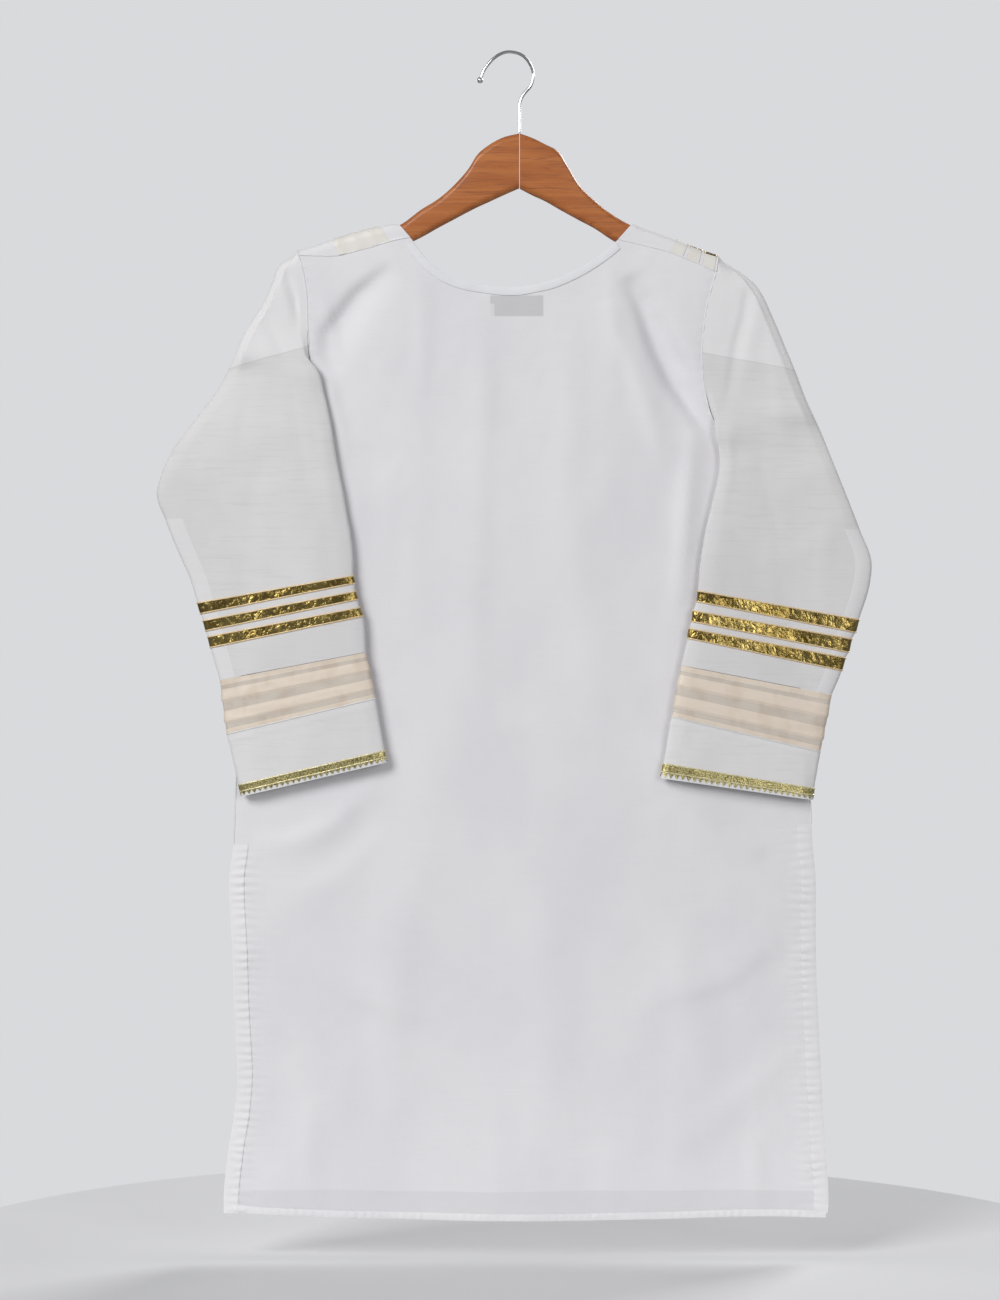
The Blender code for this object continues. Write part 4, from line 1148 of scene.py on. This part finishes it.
def build_front():
    """Front panel with its strips over the shoulders, and the points of both."""
    falls = [ROLL * (1 - math.cos(math.radians(a))) for a in range(0, 91, 15)]
    left = spread(FOLD_LEFT, SHOULDER_STEPS)
    right = spread(FOLD_RIGHT, SHOULDER_STEPS)
    neck = spread(NECK_FRONT, NECK_STEPS_FRONT)[1:-1]
    down_left = [(neck_x(fall, 0), FOLD_LEFT[-1][1] + fall) for fall in falls[1:]]
    down_right = [(neck_x(fall, 1), FOLD_RIGHT[0][1] + fall) for fall in falls[1:]]
    neck = [p for p in neck if p[1] > max(down_left[-1][1], down_right[-1][1]) + 3]
    top = left + down_left + neck + down_right[::-1] + right
    rows = [roll_row(top, fall) for fall in falls[:-1]]
    rows += fine_rows(panel_rows(roll_row(top, ROLL), hem_shares(*FRONT_ROWS)))
    columns = len(top)
    points = [front_point(x, drop) for row in rows for x, drop in row]
    main_count = len(points)
    faces = grid_faces(len(rows), columns, flip=True)
    strips = []
    for fold, seam, first in (
        (left, spread(SEAM_LEFT, SHOULDER_STEPS), 0),
        (right, spread(SEAM_RIGHT, SHOULDER_STEPS), columns - SHOULDER_STEPS - 1),
    ):
        above = list(range(first, first + SHOULDER_STEPS + 1))
        strip = [above]
        for step in range(1, len(falls) + 3):
            start_at = len(points)
            for (x0, drop0), (x1, drop1) in zip(fold, seam):
                reach = drop1 - SEAM_GAP - drop0
                scale = min(1.0, 0.8 * reach / ROLL)
                if step < len(falls):
                    fall = falls[step] * scale
                else:
                    fall = mix(falls[-1] * scale, reach, (step - len(falls) + 1) / 3)
                points.append(back_point(mix(x0, x1, fall / reach), drop0 + fall))
            below = list(range(start_at, len(points)))
            faces += [(above[c], below[c], below[c + 1], above[c + 1]) for c in range(SHOULDER_STEPS)]
            above = below
            strip.append(below)
        strips.append(strip)
    points = creased(FRONT, points[:main_count]) + points[main_count:]
    shell("front_panel", points, faces, "front", CLOTH, ["front"])
    return points, faces, columns, len(rows), strips


def strip_over(front, side, first, last, share_in, share_out):
    """Grid on the front over part of a shoulder, from the seam on the back to the hem."""
    points, faces, columns, rows, strips = front
    ways = normals_of(points, faces)
    offset = 0 if side == 0 else columns - SHOULDER_STEPS - 1
    fine = SHOULDER_STEPS // SOLID_SHOULDER_STEPS
    start = (first + share_in) * fine
    end = (last - 1 + share_out) * fine
    count = max(2, round((end - start) * 1.5))
    index_rows = strips[side][:0:-1]
    index_rows += [list(range(r * columns + offset, r * columns + offset + SHOULDER_STEPS + 1))
                   for r in range(rows)]
    lift = CLOTH / 2 + TRIM_GAP
    grid = []
    for row in index_rows:
        line = [points[i] + ways[i] * lift for i in row]
        for k in range(count + 1):
            spot = mix(start, end, k / count)
            c = min(int(spot), SHOULDER_STEPS - 1)
            grid.append(line[c].lerp(line[c + 1], spot - c))
    return grid, len(index_rows), count + 1


def build_front_trims(front):
    """Three foil ribbons on the right, and the cream insertion with its tucks on the left."""
    for number in range(RIBBONS):
        grid, rows, columns = strip_over(front, 1, 3 + number, 4 + number, 0.12, 0.88)
        pale_rows = len(front[-1][1]) - 1 - GOLD_AT_FOLD[number]
        band = foil_band(f"front_foil_{number + 1}", grid, rows, columns, [f"front_ribbon_{number + 1}"],
                         True, cord_from=pale_rows)
        second_look(band, "pale", lambda k: k < pale_rows * (columns - 1), (rows - 1) * (columns - 1))
    grid, rows, columns = strip_over(front, 0, 2, 5, 0.1, 0.9)
    lifts = [0.5 * max(0.0, math.sin(math.pi * 6 * (i % columns) / (columns - 1))) for i in range(len(grid))]
    faces = grid_faces(rows, columns, flip=True)
    shell("front_organza", lifted(grid, faces, lifts), faces, "pale", SHEER_CLOTH,
          ["front_insertion"])


def foil_band(name, grid, rows, columns, nodes, along_rows, closed=False, flip=True, cord_from=0):
    """Foil ribbon with a cord along each edge. Its long way is down the rows or across them."""
    faces = grid_faces(rows, columns, flip, closed)
    dents = [0.16 * noise.noise(p * 0.22) + 0.1 * noise.noise(p * 0.5) for p in grid]
    band = shell(name, lifted(grid, faces, dents), faces, "foil", 0.25, nodes)
    ways = normals_of(grid, faces)
    if along_rows:
        edges = [[r * columns + c for r in range(cord_from, rows)] for c in (0, columns - 1)]
    else:
        edges = [list(range(columns)), list(range((rows - 1) * columns, rows * columns))]
    for number, edge in enumerate(edges):
        line = [grid[i] + ways[i] * 0.15 for i in edge]
        tube(f"{name}_cord_{number + 1}", line, 0.75, "cord", closed)
    return band


def tube(name, line, radius, mat, closed=False, sides=6):
    """Round cord along a line of points."""
    if closed:
        line = line + line[:1]
    curve = bpy.data.curves.new(name, "CURVE")
    curve.dimensions = "3D"
    curve.bevel_depth = radius * MM
    curve.bevel_resolution = max(0, sides // 2 - 2)
    curve.use_fill_caps = True
    spline = curve.splines.new("POLY")
    spline.points.add(len(line) - 1)
    for spot, p in zip(spline.points, line):
        spot.co = (*(p * MM), 1.0)
    source = bpy.data.objects.new(name, curve)
    bpy.context.scene.collection.objects.link(source)
    mesh = bpy.data.meshes.new_from_object(source)
    bpy.data.objects.remove(source)
    mesh.shade_smooth()
    mesh.name = name
    return placed(name, mesh, mat)


# Sleeves: where the cap layer and the seam allowance lie, in rows and columns of a sleeve
CAP_ROWS = (ROW_PIECES, 6 * ROW_PIECES)
CAP_COLUMNS = (LAP_STEPS + 4, LAP_STEPS + SHOW_STEPS - 6)
ALLOWANCE_ROWS = (14 * ROW_PIECES, (FIRST_RIBBON_ROW + 6) * ROW_PIECES)
OUTER_EDGE = LAP_STEPS + SHOW_STEPS
ALLOWANCE_COLUMNS = (OUTER_EDGE - 7, OUTER_EDGE)


def sleeve_rows(side, head, arm, fold_tip):
    """Rows of a sleeve's surface; the closed ones end where they began."""
    rows = [shoulder_end(head, fold_tip, side)]
    rows += [head_row(row, side) for row in head[1:-1]]
    open_count = len(rows)
    last = head[-1]
    underarm_x = last[1] + side * UNDERARM_GAP
    underarm_share = (underarm_x - last[3]) / (last[2] - last[3])
    closed = [ring((last[3], last[0]), (last[2], last[0]), last[5], underarm_share)]
    closed += [as_ring(row) for row in arm]
    return rows + [row + row[:1] for row in closed], open_count


def tube_grid(rows, closed_from, flip):
    """Points and faces of rows whose ends meet from one row on, and the index of each spot."""
    width = len(rows[0]) - 1
    points, starts = [], []
    for r, row in enumerate(rows):
        starts.append(len(points))
        points += row if r < closed_from else row[:-1]

    def index(r, c):
        return starts[r] + (c if r < closed_from else c % width)

    faces = []
    for r in range(len(rows) - 1):
        for c in range(width):
            quad = (index(r, c), index(r + 1, c), index(r + 1, c + 1), index(r, c + 1))
            faces.append(tuple(reversed(quad)) if flip else quad)
    return points, faces, index, width


def shown_weight(c):
    """1 on the shown layer, a little on the hidden one, soft at the edges."""
    from_edge = min(c - LAP_STEPS, LAP_STEPS + SHOW_STEPS - c)
    return 0.25 + 0.75 * fade(from_edge, -1, 7)


def sleeve_lift(x, drop, c, creases, seed):
    soft = 0.5 * wander(x, drop, 34, 60, seed) + 0.3 * wander(x, drop, 15, 22, seed + 4)
    if LAP_STEPS < c < LAP_STEPS + SHOW_STEPS:
        soft += crease_lift(creases, x, drop)
    return soft


def build_sleeve(name, side, head, arm, fold_tip, creases):
    rows, open_count = sleeve_rows(side, head, arm, fold_tip)
    rows, places = refined(rows, ROW_PIECES)
    closed_from = next(i for i, at in enumerate(places) if at >= open_count)
    points, faces, index, width = tube_grid(rows, closed_from, side < 0)
    lifts = [0.0] * len(points)
    for r, at in enumerate(places):
        begun = fade(at, 0.3, 2.5)
        for c in range(width + (1 if r < closed_from else 0)):
            p = points[index(r, c)]
            free = 1.0 if r >= closed_from else fade(min(c, width - c), 0, 6)
            lift = sleeve_lift(p.x, -p.z, c, creases, 50.0 + side) * shown_weight(c)
            lifts[index(r, c)] = lift * begun * free
    points = lifted(points, faces, lifts)
    obj = shell(f"{name}_sheer", points, faces, name, SHEER_CLOTH, [name])
    rows, columns = (range(*span) for span in (ALLOWANCE_ROWS, ALLOWANCE_COLUMNS))
    second_look(obj, "sleeve_double", lambda k: k // width in rows and k % width in columns, len(faces))
    return points, faces, index, width


def sleeve_patch(sleeve, first_row, last_row, first_column, last_column, lift):
    """Grid of points over part of a sleeve, moved outward, with its numbers of rows and columns."""
    points, faces, index, _ = sleeve
    ways = normals_of(points, faces)
    rows, columns = range(first_row, last_row + 1), range(first_column, last_column + 1)
    chosen = [index(r, c) for r in rows for c in columns]
    return [points[i] + ways[i] * lift for i in chosen], len(rows), len(columns)


def build_sleeve_trims(side_name, side, sleeve):
    for number in range(RIBBONS):
        first = (FIRST_RIBBON_ROW + 2 * number) * ROW_PIECES
        patch = sleeve_patch(sleeve, first, first + ROW_PIECES, 0, sleeve[3] - 1, SHEER_CLOTH / 2 + TRIM_GAP)
        foil_band(f"sleeve_foil_{side_name}_{number + 1}", *patch,
                  [f"sleeve_ribbon_{side_name}_{number + 1}"], False, True, side < 0)
    grid, *size = sleeve_patch(sleeve, *CAP_ROWS, *CAP_COLUMNS, -(TRIM_WALL + TRIM_GAP))
    shell(f"cap_layer_{side_name}", grid, grid_faces(*size, side < 0), "lining", CLOTH,
          [f"cap_lining_{side_name}"])
    grid, *size = sleeve_patch(sleeve, *ALLOWANCE_ROWS, *ALLOWANCE_COLUMNS, -0.7)
    shell(f"sleeve_allowance_{side_name}", grid, grid_faces(*size, side < 0), "sleeve_double",
          SHEER_CLOTH)


def tuck_lift(share):
    """Height of the insertion's two tucks: each rises slowly and ends in a sharp fold."""
    for (s0, _), (s1, high), (s2, _) in (TUCKS[1:4], TUCKS[4:7]):
        if s0 < share <= s1:
            return high * ((share - s0) / (s1 - s0)) ** 0.7
        if s1 < share < s2:
            return high * (s2 - share) / (s2 - s1)
    return 0.0


def sleeve_band(side, upper, lower, count, low_gap, lift_at):
    """Closed band of cloth between two lines across a sleeve, and each row's share of its height."""
    height = lower[1] - upper[1]
    shares = [mix(SEAM_GAP / height, 1 - low_gap / height, i / count) for i in range(count + 1)]
    rows = [as_ring(between(upper, lower, share)) for share in shares]
    width = len(rows[0])
    points = flat_list(rows)
    faces = grid_faces(len(rows), width, side < 0, closed=True)
    lifts = [lift_at(p.x, -p.z, shares[i // width]) for i, p in enumerate(points)]
    return lifted(points, faces, lifts), faces, width, shares


def build_insertion(name, side, upper, lower):
    """Organza band, double along its tucks and its seams."""
    def lift_at(x, drop, share):
        soft = 0.4 * wander(x, drop, 22, 9, 70 + side) + 0.2 * wander(x, drop, 9, 6, 75 + side)
        return tuck_lift(share) + soft

    def is_double(k):
        share = shares[k // width]
        return (TUCKS[1][0] - TUCK_ROOT < share < TUCKS[3][0] or TUCKS[4][0] - TUCK_ROOT < share < TUCKS[6][0]
                or share < SEAM_DOUBLE or share > 1 - SEAM_DOUBLE)

    points, faces, width, shares = sleeve_band(side, upper, lower, 50, SEAM_GAP, lift_at)
    obj = shell(f"{name}_sheer", points, faces, "organza", SHEER_CLOTH, [name])
    second_look(obj, "tuck", is_double, len(faces))


def build_cuff(name, side, upper, lower):
    """End of a sleeve, with a soft fold below its seam."""
    def lift_at(x, drop, share):
        soft = 0.5 * wander(x, drop, 26, 30, 80 + side) + 0.3 * wander(x, drop, 10, 14, 85 + side)
        fold = 0.3 * math.exp(-((share - 0.1) / 0.05) ** 2)
        return (soft + fold) * fade(share, 0.0, 0.12)

    points, faces, width, shares = sleeve_band(side, upper, lower, 40, 0.0, lift_at)
    shell(f"{name}_sheer", points, faces, "cuff", SHEER_CLOTH, [name])
    return points, faces, width, len(shares)


def even_ring(cuff, at, lift, count):
    """Points evenly spaced round a band at a place between its rows, moved outward."""
    points, faces, width, row_count = cuff
    ways = normals_of(points, faces)
    r = min(int(at), row_count - 2)
    f = at - r
    line = []
    for c in list(range(width)) + [0]:
        i, j = r * width + c, (r + 1) * width + c
        line.append(points[i].lerp(points[j], f) + ways[i].lerp(ways[j], f) * lift)
    reach = reaches(line)
    out = []
    for k in range(count):
        j, share = leg_at(reach, reach[-1] * k / count)
        out.append(line[j].lerp(line[j + 1], share))
    return out


def build_lace(side_name, side, cuff, lower, upper):
    """Gold edging: a band between twin cords with pointed picots below."""
    height = lower[1] - upper[1]
    last_row = cuff[-1] - 1
    count = PICOTS * PICOT_STEPS
    rises = (LACE_RISE, LACE_RISE - LACE_BAND / 2, LACE_RISE - LACE_BAND)
    places = [(1 - rise / height) * last_row for rise in rises] + [last_row - 0.001]
    *rings, foot = (even_ring(cuff, at, SHEER_CLOTH / 2 + TRIM_GAP, count) for at in places)
    zigzag = []
    for k in range(count):
        tooth = 1 - abs(2 * (k % PICOT_STEPS) / PICOT_STEPS - 1)
        zigzag.append(rings[2][k].lerp(foot[k], (0.1 + 0.9 * tooth) * PICOT / (LACE_RISE - LACE_BAND)))
    faces = grid_faces(len(rings) + 1, count, side < 0, closed=True)
    shell(f"lace_{side_name}", flat_list(rings) + zigzag, faces, "lace", 0.5,
          [f"cuff_lace_{side_name}"])
    for number, ring_points in enumerate((rings[0], rings[2])):
        tube(f"lace_cord_{side_name}_{number + 1}", ring_points, 0.8, "lace_cord", True)


def build_side(side, name, head, arm, cuff_rows, fold_tip, creases):
    sleeve = build_sleeve(f"sleeve_{name}", side, head, arm, fold_tip, creases)
    build_sleeve_trims(name, side, sleeve)
    build_insertion(f"insertion_{name}", side, arm[-1], cuff_rows[0])
    cuff = build_cuff(f"cuff_{name}", side, cuff_rows[0], cuff_rows[1])
    ridge(f"cuff_seam_{name}", cuff[0][:cuff[2]], (0, 0, 0.1), 0.8, "cuff", True)
    build_lace(name, side, cuff, cuff_rows[1], cuff_rows[0])


# Linings, binding and label
def build_binding(name, line, panel, node):
    """Narrow band along a neckline, with a stitched lower edge."""
    edge = spread(line, 140)[2:-2]
    offsets = [mix(*NECK_BAND, i / 7) for i in range(8)]
    rows = [[] for _ in offsets]
    for i in range(len(edge)):
        (x0, drop0), (x1, drop1) = edge[max(i - 1, 0)], edge[min(i + 1, len(edge) - 1)]
        length = math.dist((x0, drop0), (x1, drop1))
        across = ((drop0 - drop1) / length, (x1 - x0) / length)
        for row, offset in zip(rows, offsets):
            row.append(creased_point(panel, (x0 + x1) / 2 + across[0] * offset,
                                     (drop0 + drop1) / 2 + across[1] * offset))
    points = flat_list(rows)
    faces = grid_faces(len(rows), len(edge), panel.towards > 0)
    lifts = []
    for i, p in enumerate(points):
        share = (i // len(edge)) / (len(offsets) - 1)
        puff = 0.35 * math.sin(math.pi * share) ** 0.5
        lifts.append(CLOTH + 0.25 + puff + 0.12 * wander(p.x, -p.z, 7, 7, panel.seed))
    shell(name, lifted(points, faces, lifts), faces, "binding", CLOTH, [node])


def build_lining():
    levels, across = 90, 60
    points = []
    for step in range(levels + 1):
        share = step / levels
        level = mix(LINING_TOP, LINING_HEM, share)
        left, right = through(SIDE_LEFT, level) + LINING_INSET, through(SIDE_RIGHT, level) - LINING_INSET
        for towards in (-1, 1):
            for i in range(across + 1):
                x = mix(left, right, (i if towards < 0 else across - i) / across)
                drop = level + 2.2 * share**6 * wander(x, 0, 60, 1, 90)
                half = LINING_SHARE * depth(x, drop) + 0.3 * wander(x, drop, 50, 90, 91 + towards)
                points.append(place(x, drop, towards * half))
    faces = grid_faces(levels + 1, 2 * across + 2, closed=True)
    shell("body_lining_cloth", points, faces, "lining", CLOTH, ["body_lining"])


def build_label():
    left, right, top, low = LABEL
    columns, rows = 16, 8
    points = []
    for r in range(rows + 1):
        for c in range(columns + 1):
            x, drop = mix(left, right, c / columns), mix(top, low, r / rows)
            p = back_point(x, drop, WALL / 2 + LABEL_GAP)
            p.y -= body_lift(BACK, x, drop)
            points.append(p)
    faces = grid_faces(rows + 1, columns + 1)
    shell("label_cloth_piece", points, faces, "label", 0.4, ["label"])


# Hanger
def build_arm(side, table):
    """One arm of the hanger, with the ring of each row finely rounded."""
    turns = [math.pi * i / 14 for i in range(15)]
    rows = []
    for number, (x, top, low) in enumerate(table):
        half = HANGER_HALF * (HANGER_TIP_SHARE if number == len(table) - 1 else 1.0)
        rise = min(HANGER_CORNER, (low - top) / 2 - 0.5)
        rows.append([place(x, top + rise * (1 - math.sin(a)), -half * math.cos(a)) for a in turns]
                    + [place(x, low - rise * (1 - math.sin(a)), half * math.cos(a)) for a in turns])
    rows, _ = refined(rows, 6)
    leftward = table[-1][0] < 0
    count = len(rows[0])
    points = flat_list(rows)
    faces = grid_faces(len(rows), count, leftward, closed=True)
    near, far = list(range(count)), list(range(len(points) - count, len(points)))
    faces.append(tuple(reversed(near)) if leftward else tuple(near))
    faces.append(tuple(far) if leftward else tuple(reversed(far)))
    mesh = smooth_mesh(f"hanger_arm_{side}", [p * MM for p in points], faces, 45)
    placed(f"hanger_arm_{side}", mesh, f"wood_{side}", [f"hanger_{side}"])


def build_hook():
    route = rounded_route([place(x, drop, 0) for x, drop in HOOK], 12)
    wire = tube("hook_wire", route, WIRE_RADIUS, "chrome", sides=14)
    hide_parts("hook")
    away = (route[0] - route[1]).normalized()
    ball = bmesh.new()
    bmesh.ops.create_uvsphere(ball, u_segments=28, v_segments=18, radius=TIP_RADIUS * MM)
    mesh = bpy.data.meshes.new("hook_ball")
    ball.to_mesh(mesh)
    ball.free()
    mesh.transform(Matrix.Translation((route[0] + away * (TIP_RADIUS - 0.6)) * MM))
    mesh.shade_smooth()
    placed("hook_ball", mesh, "chrome", ["hook_tip"])


# Stitches
def build_stitches(name, spots):
    """Short rounded stitches from (centre, direction, normal) spots, all in one mesh."""
    half, wide, high = STITCH
    points, faces = [], []
    for centre, way, up in spots:
        side = way.cross(up).normalized()
        base = len(points)
        for share, thick in ((-1.0, 0.35), (-0.5, 1.0), (0.5, 1.0), (1.0, 0.35)):
            mid = centre + way * (half * share)
            points += [mid - side * wide * thick, mid + up * high * thick, mid + side * wide * thick]
        for k in range(3):
            a = base + 3 * k
            faces += [(a, a + 3, a + 4, a + 1), (a + 1, a + 4, a + 5, a + 2)]
    placed(name, smooth_mesh(name, [p * MM for p in points], faces), "thread")


def stitch_line(panel, line):
    """Spots of stitches along a line of (x, drop) on a body panel."""
    up = Vector((0, panel.towards, 0))
    reach = reaches(line)
    spots = []
    for k in range(int(reach[-1] / STITCH_PITCH)):
        j, share = leg_at(reach, (k + 0.5) * STITCH_PITCH)
        centre = creased_point(panel, *between(line[j], line[j + 1], share), CLOTH / 2)
        way = Vector((line[j + 1][0] - line[j][0], 0, line[j][1] - line[j + 1][1])).normalized()
        spots.append((centre, way, up))
    return spots


def hem_lines():
    """Lines of (x, drop) along the stitches of both slits and the bottom hem."""
    lines = []
    for _, table, inward, top in SLITS:
        drops = [mix(top + 4, SLIT_END - 4, i / 90) for i in range(91)]
        lines.append([(through(table, d) + inward * (SLIT_HEM - 1), d) for d in drops])
    xs = [mix(-262, 291, i / 120) for i in range(121)]
    lines.append([(x, through(HEM, x) - BOTTOM_HEM + 0.8) for x in xs])
    return lines


def build_all_stitches():
    lines = hem_lines()
    armholes = [[(row[1] + inward * 2.6, row[0]) for row in table[1:-1]]
                for table, inward in ((LEFT_HEAD, 1), (RIGHT_HEAD, -1))]
    build_stitches("back_stitches", [spot for line in lines + armholes for spot in stitch_line(BACK, line)])
    build_stitches("front_stitches", [spot for line in lines for spot in stitch_line(FRONT, line)])


# Build everything
back_points, back_columns, back_rows = build_back()
front = build_front()
build_hems("back", BACK)
build_hems("front", FRONT)
build_ridges("back", back_points, back_columns, back_rows)
build_ridges("front", front[0], *front[2:])
for number, side in ((0, "left"), (back_columns - SHOULDER_STEPS - 1, "right")):
    ridge(f"shoulder_seam_{side}", back_points[number:number + SHOULDER_STEPS + 1], (0, -0.1, 0.2), 0.75)
build_front_trims(front)
build_side(-1, "left", LEFT_HEAD, LEFT_ARM, LEFT_CUFF, FOLD_LEFT[0], LEFT_SLEEVE_CREASES)
build_side(1, "right", RIGHT_HEAD, RIGHT_ARM, RIGHT_CUFF, FOLD_RIGHT[-1], RIGHT_SLEEVE_CREASES)
build_binding("neck_band_back", NECK_BACK, BACK, "neck_binding_back")
build_binding("neck_band_front", NECK_FRONT, FRONT, "neck_binding_front")
build_lining()
build_label()
build_arm("left", HANGER_LEFT)
build_arm("right", HANGER_RIGHT)
build_hook()
build_all_stitches()

# What each sheet of cloth was cut to: (width, length), its area where it isn't a rectangle, what it
# hangs from, and the starts of the names of the pieces sewn on it
SHEETS = {
    "back_panel": ((0.60, 0.97), 0.49, ("hanger_arm_left", "hanger_arm_right"),
                   ("back_seam", "back_slit", "back_bottom", "back_stitches", "neck_band_back",
                    "shoulder_seam")),
    "front_panel": ((0.60, 0.96), 0.485, ("hanger_arm_left", "hanger_arm_right"),
                    ("front_seam", "front_slit", "front_bottom", "front_stitches", "neck_band_front",
                     "front_foil")),
    "front_organza": ((0.062, 0.955), None, ("front_panel",), ()),
    "body_lining_cloth": ((0.93, 0.71), None, ("back_panel",), ()),
    "label_cloth_piece": ((0.051, 0.021), None, ("back_panel",), ()),
    "sleeve_left_sheer": ((0.37, 0.43), 0.101, ("back_panel", "front_panel"),
                          ("sleeve_foil_left", "sleeve_allowance_left")),
    "sleeve_right_sheer": ((0.37, 0.43), 0.097, ("back_panel", "front_panel"),
                           ("sleeve_foil_right", "sleeve_allowance_right")),
    "cap_layer_left": ((0.045, 0.07), 0.0027, ("sleeve_left_sheer",), ()),
    "cap_layer_right": ((0.05, 0.08), 0.0036, ("sleeve_right_sheer",), ()),
    "insertion_left_sheer": ((0.31, 0.048), None, ("sleeve_left_sheer",), ()),
    "insertion_right_sheer": ((0.33, 0.05), None, ("sleeve_right_sheer",), ()),
    "cuff_left_sheer": ((0.31, 0.06), None, ("insertion_left_sheer",),
                        ("lace_left", "lace_cord_left", "cuff_seam_left")),
    "cuff_right_sheer": ((0.31, 0.055), None, ("insertion_right_sheer",),
                        ("lace_right", "lace_cord_right", "cuff_seam_right")),
}
for name, (flat, area, carriers, starts) in SHEETS.items():
    sewn_on = sorted(o.name for o in bpy.data.objects if starts and o.name.startswith(starts))
    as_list(carriers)


# Camera, floor and soft light
def build_camera():
    """Level camera, square to the back, with one pixel of the photo to 0.96 mm at the garment."""
    pixel = 0.96 * MM
    middle, hook_top = (500, 650), (510, 51.6)  # the photo's centre and the frame's origin, in its pixels
    garment_y, distance = -0.01, 3.2
    data = bpy.data.cameras.new("camera")
    data.sensor_fit = "HORIZONTAL"
    data.sensor_width = 36.0
    data.lens = data.sensor_width * distance / (2 * middle[0] * pixel)
    camera = bpy.data.objects.new("camera", data)
    camera.location = ((middle[0] - hook_top[0]) * pixel, garment_y - distance,
                       -(middle[1] - hook_top[1]) * pixel)
    camera.rotation_euler = (math.radians(90), 0, 0)
    bpy.context.scene.collection.objects.link(camera)
    bpy.context.scene.camera = camera


def build_floor():
    """Round pale floor just below the hem, with a rounded rim."""
    top, radius, round_edge, sides = -1.16, 0.62, 0.012, 128
    profile = [(radius - round_edge + round_edge * math.sin(math.pi / 2 * k / 6),
                top - round_edge * (1 - math.cos(math.pi / 2 * k / 6))) for k in range(7)]
    points = [(r * math.cos(math.tau * i / sides), r * math.sin(math.tau * i / sides), z)
              for r, z in profile for i in range(sides)]
    faces = [tuple(range(sides))] + grid_faces(len(profile), sides, closed=True)
    mesh = smooth_mesh("floor", points, faces, 30)
    mesh.materials.append(plaster("pale_plaster", (0.72, 0.72, 0.735)))
    obj = bpy.data.objects.new("floor", mesh)
    bpy.context.scene.collection.objects.link(obj)


def build_world():
    """Plain pale backdrop all round, which itself lights the object only softly."""
    world = bpy.data.worlds.new("soft_room")
    world.use_nodes = True
    tree = world.node_tree
    light = tree.nodes["Background"]
    light.inputs["Color"].default_value = (0.96, 0.97, 1.0, 1.0)
    light.inputs["Strength"].default_value = 0.25
    backdrop = tree.nodes.new("ShaderNodeBackground")
    backdrop.inputs["Color"].default_value = (0.695, 0.70, 0.72, 1.0)
    path = tree.nodes.new("ShaderNodeLightPath")
    both = tree.nodes.new("ShaderNodeMixShader")
    tree.links.new(path.outputs["Is Camera Ray"], both.inputs["Fac"])
    tree.links.new(light.outputs["Background"], both.inputs[1])
    tree.links.new(backdrop.outputs["Background"], both.inputs[2])
    tree.links.new(both.outputs["Shader"], tree.nodes["World Output"].inputs["Surface"])
    bpy.context.scene.world = world


def area_light(name, place_at, aim_z, size, power):
    """Square soft light that points at a height of the garment."""
    data = bpy.data.lights.new(name, "AREA")
    data.shape = "RECTANGLE"
    data.size = data.size_y = size
    data.energy = power
    obj = bpy.data.objects.new(name, data)
    obj.location = place_at
    obj.rotation_euler = (Vector((0, 0, aim_z)) - Vector(place_at)).to_track_quat("-Z", "Y").to_euler()
    bpy.context.scene.collection.objects.link(obj)


build_camera()
build_floor()
build_world()
area_light("key", (-2.9, -3.7, 1.8), -0.55, 2.4, 176)
area_light("fill", (2.4, -4.2, 0.3), -0.6, 1.8, 44)
area_light("front_key", (2.9, 3.7, 1.8), -0.55, 2.4, 170)
area_light("front_fill", (-2.4, 4.2, 0.3), -0.6, 1.8, 24)
bpy.context.scene.view_settings.view_transform = "Standard"
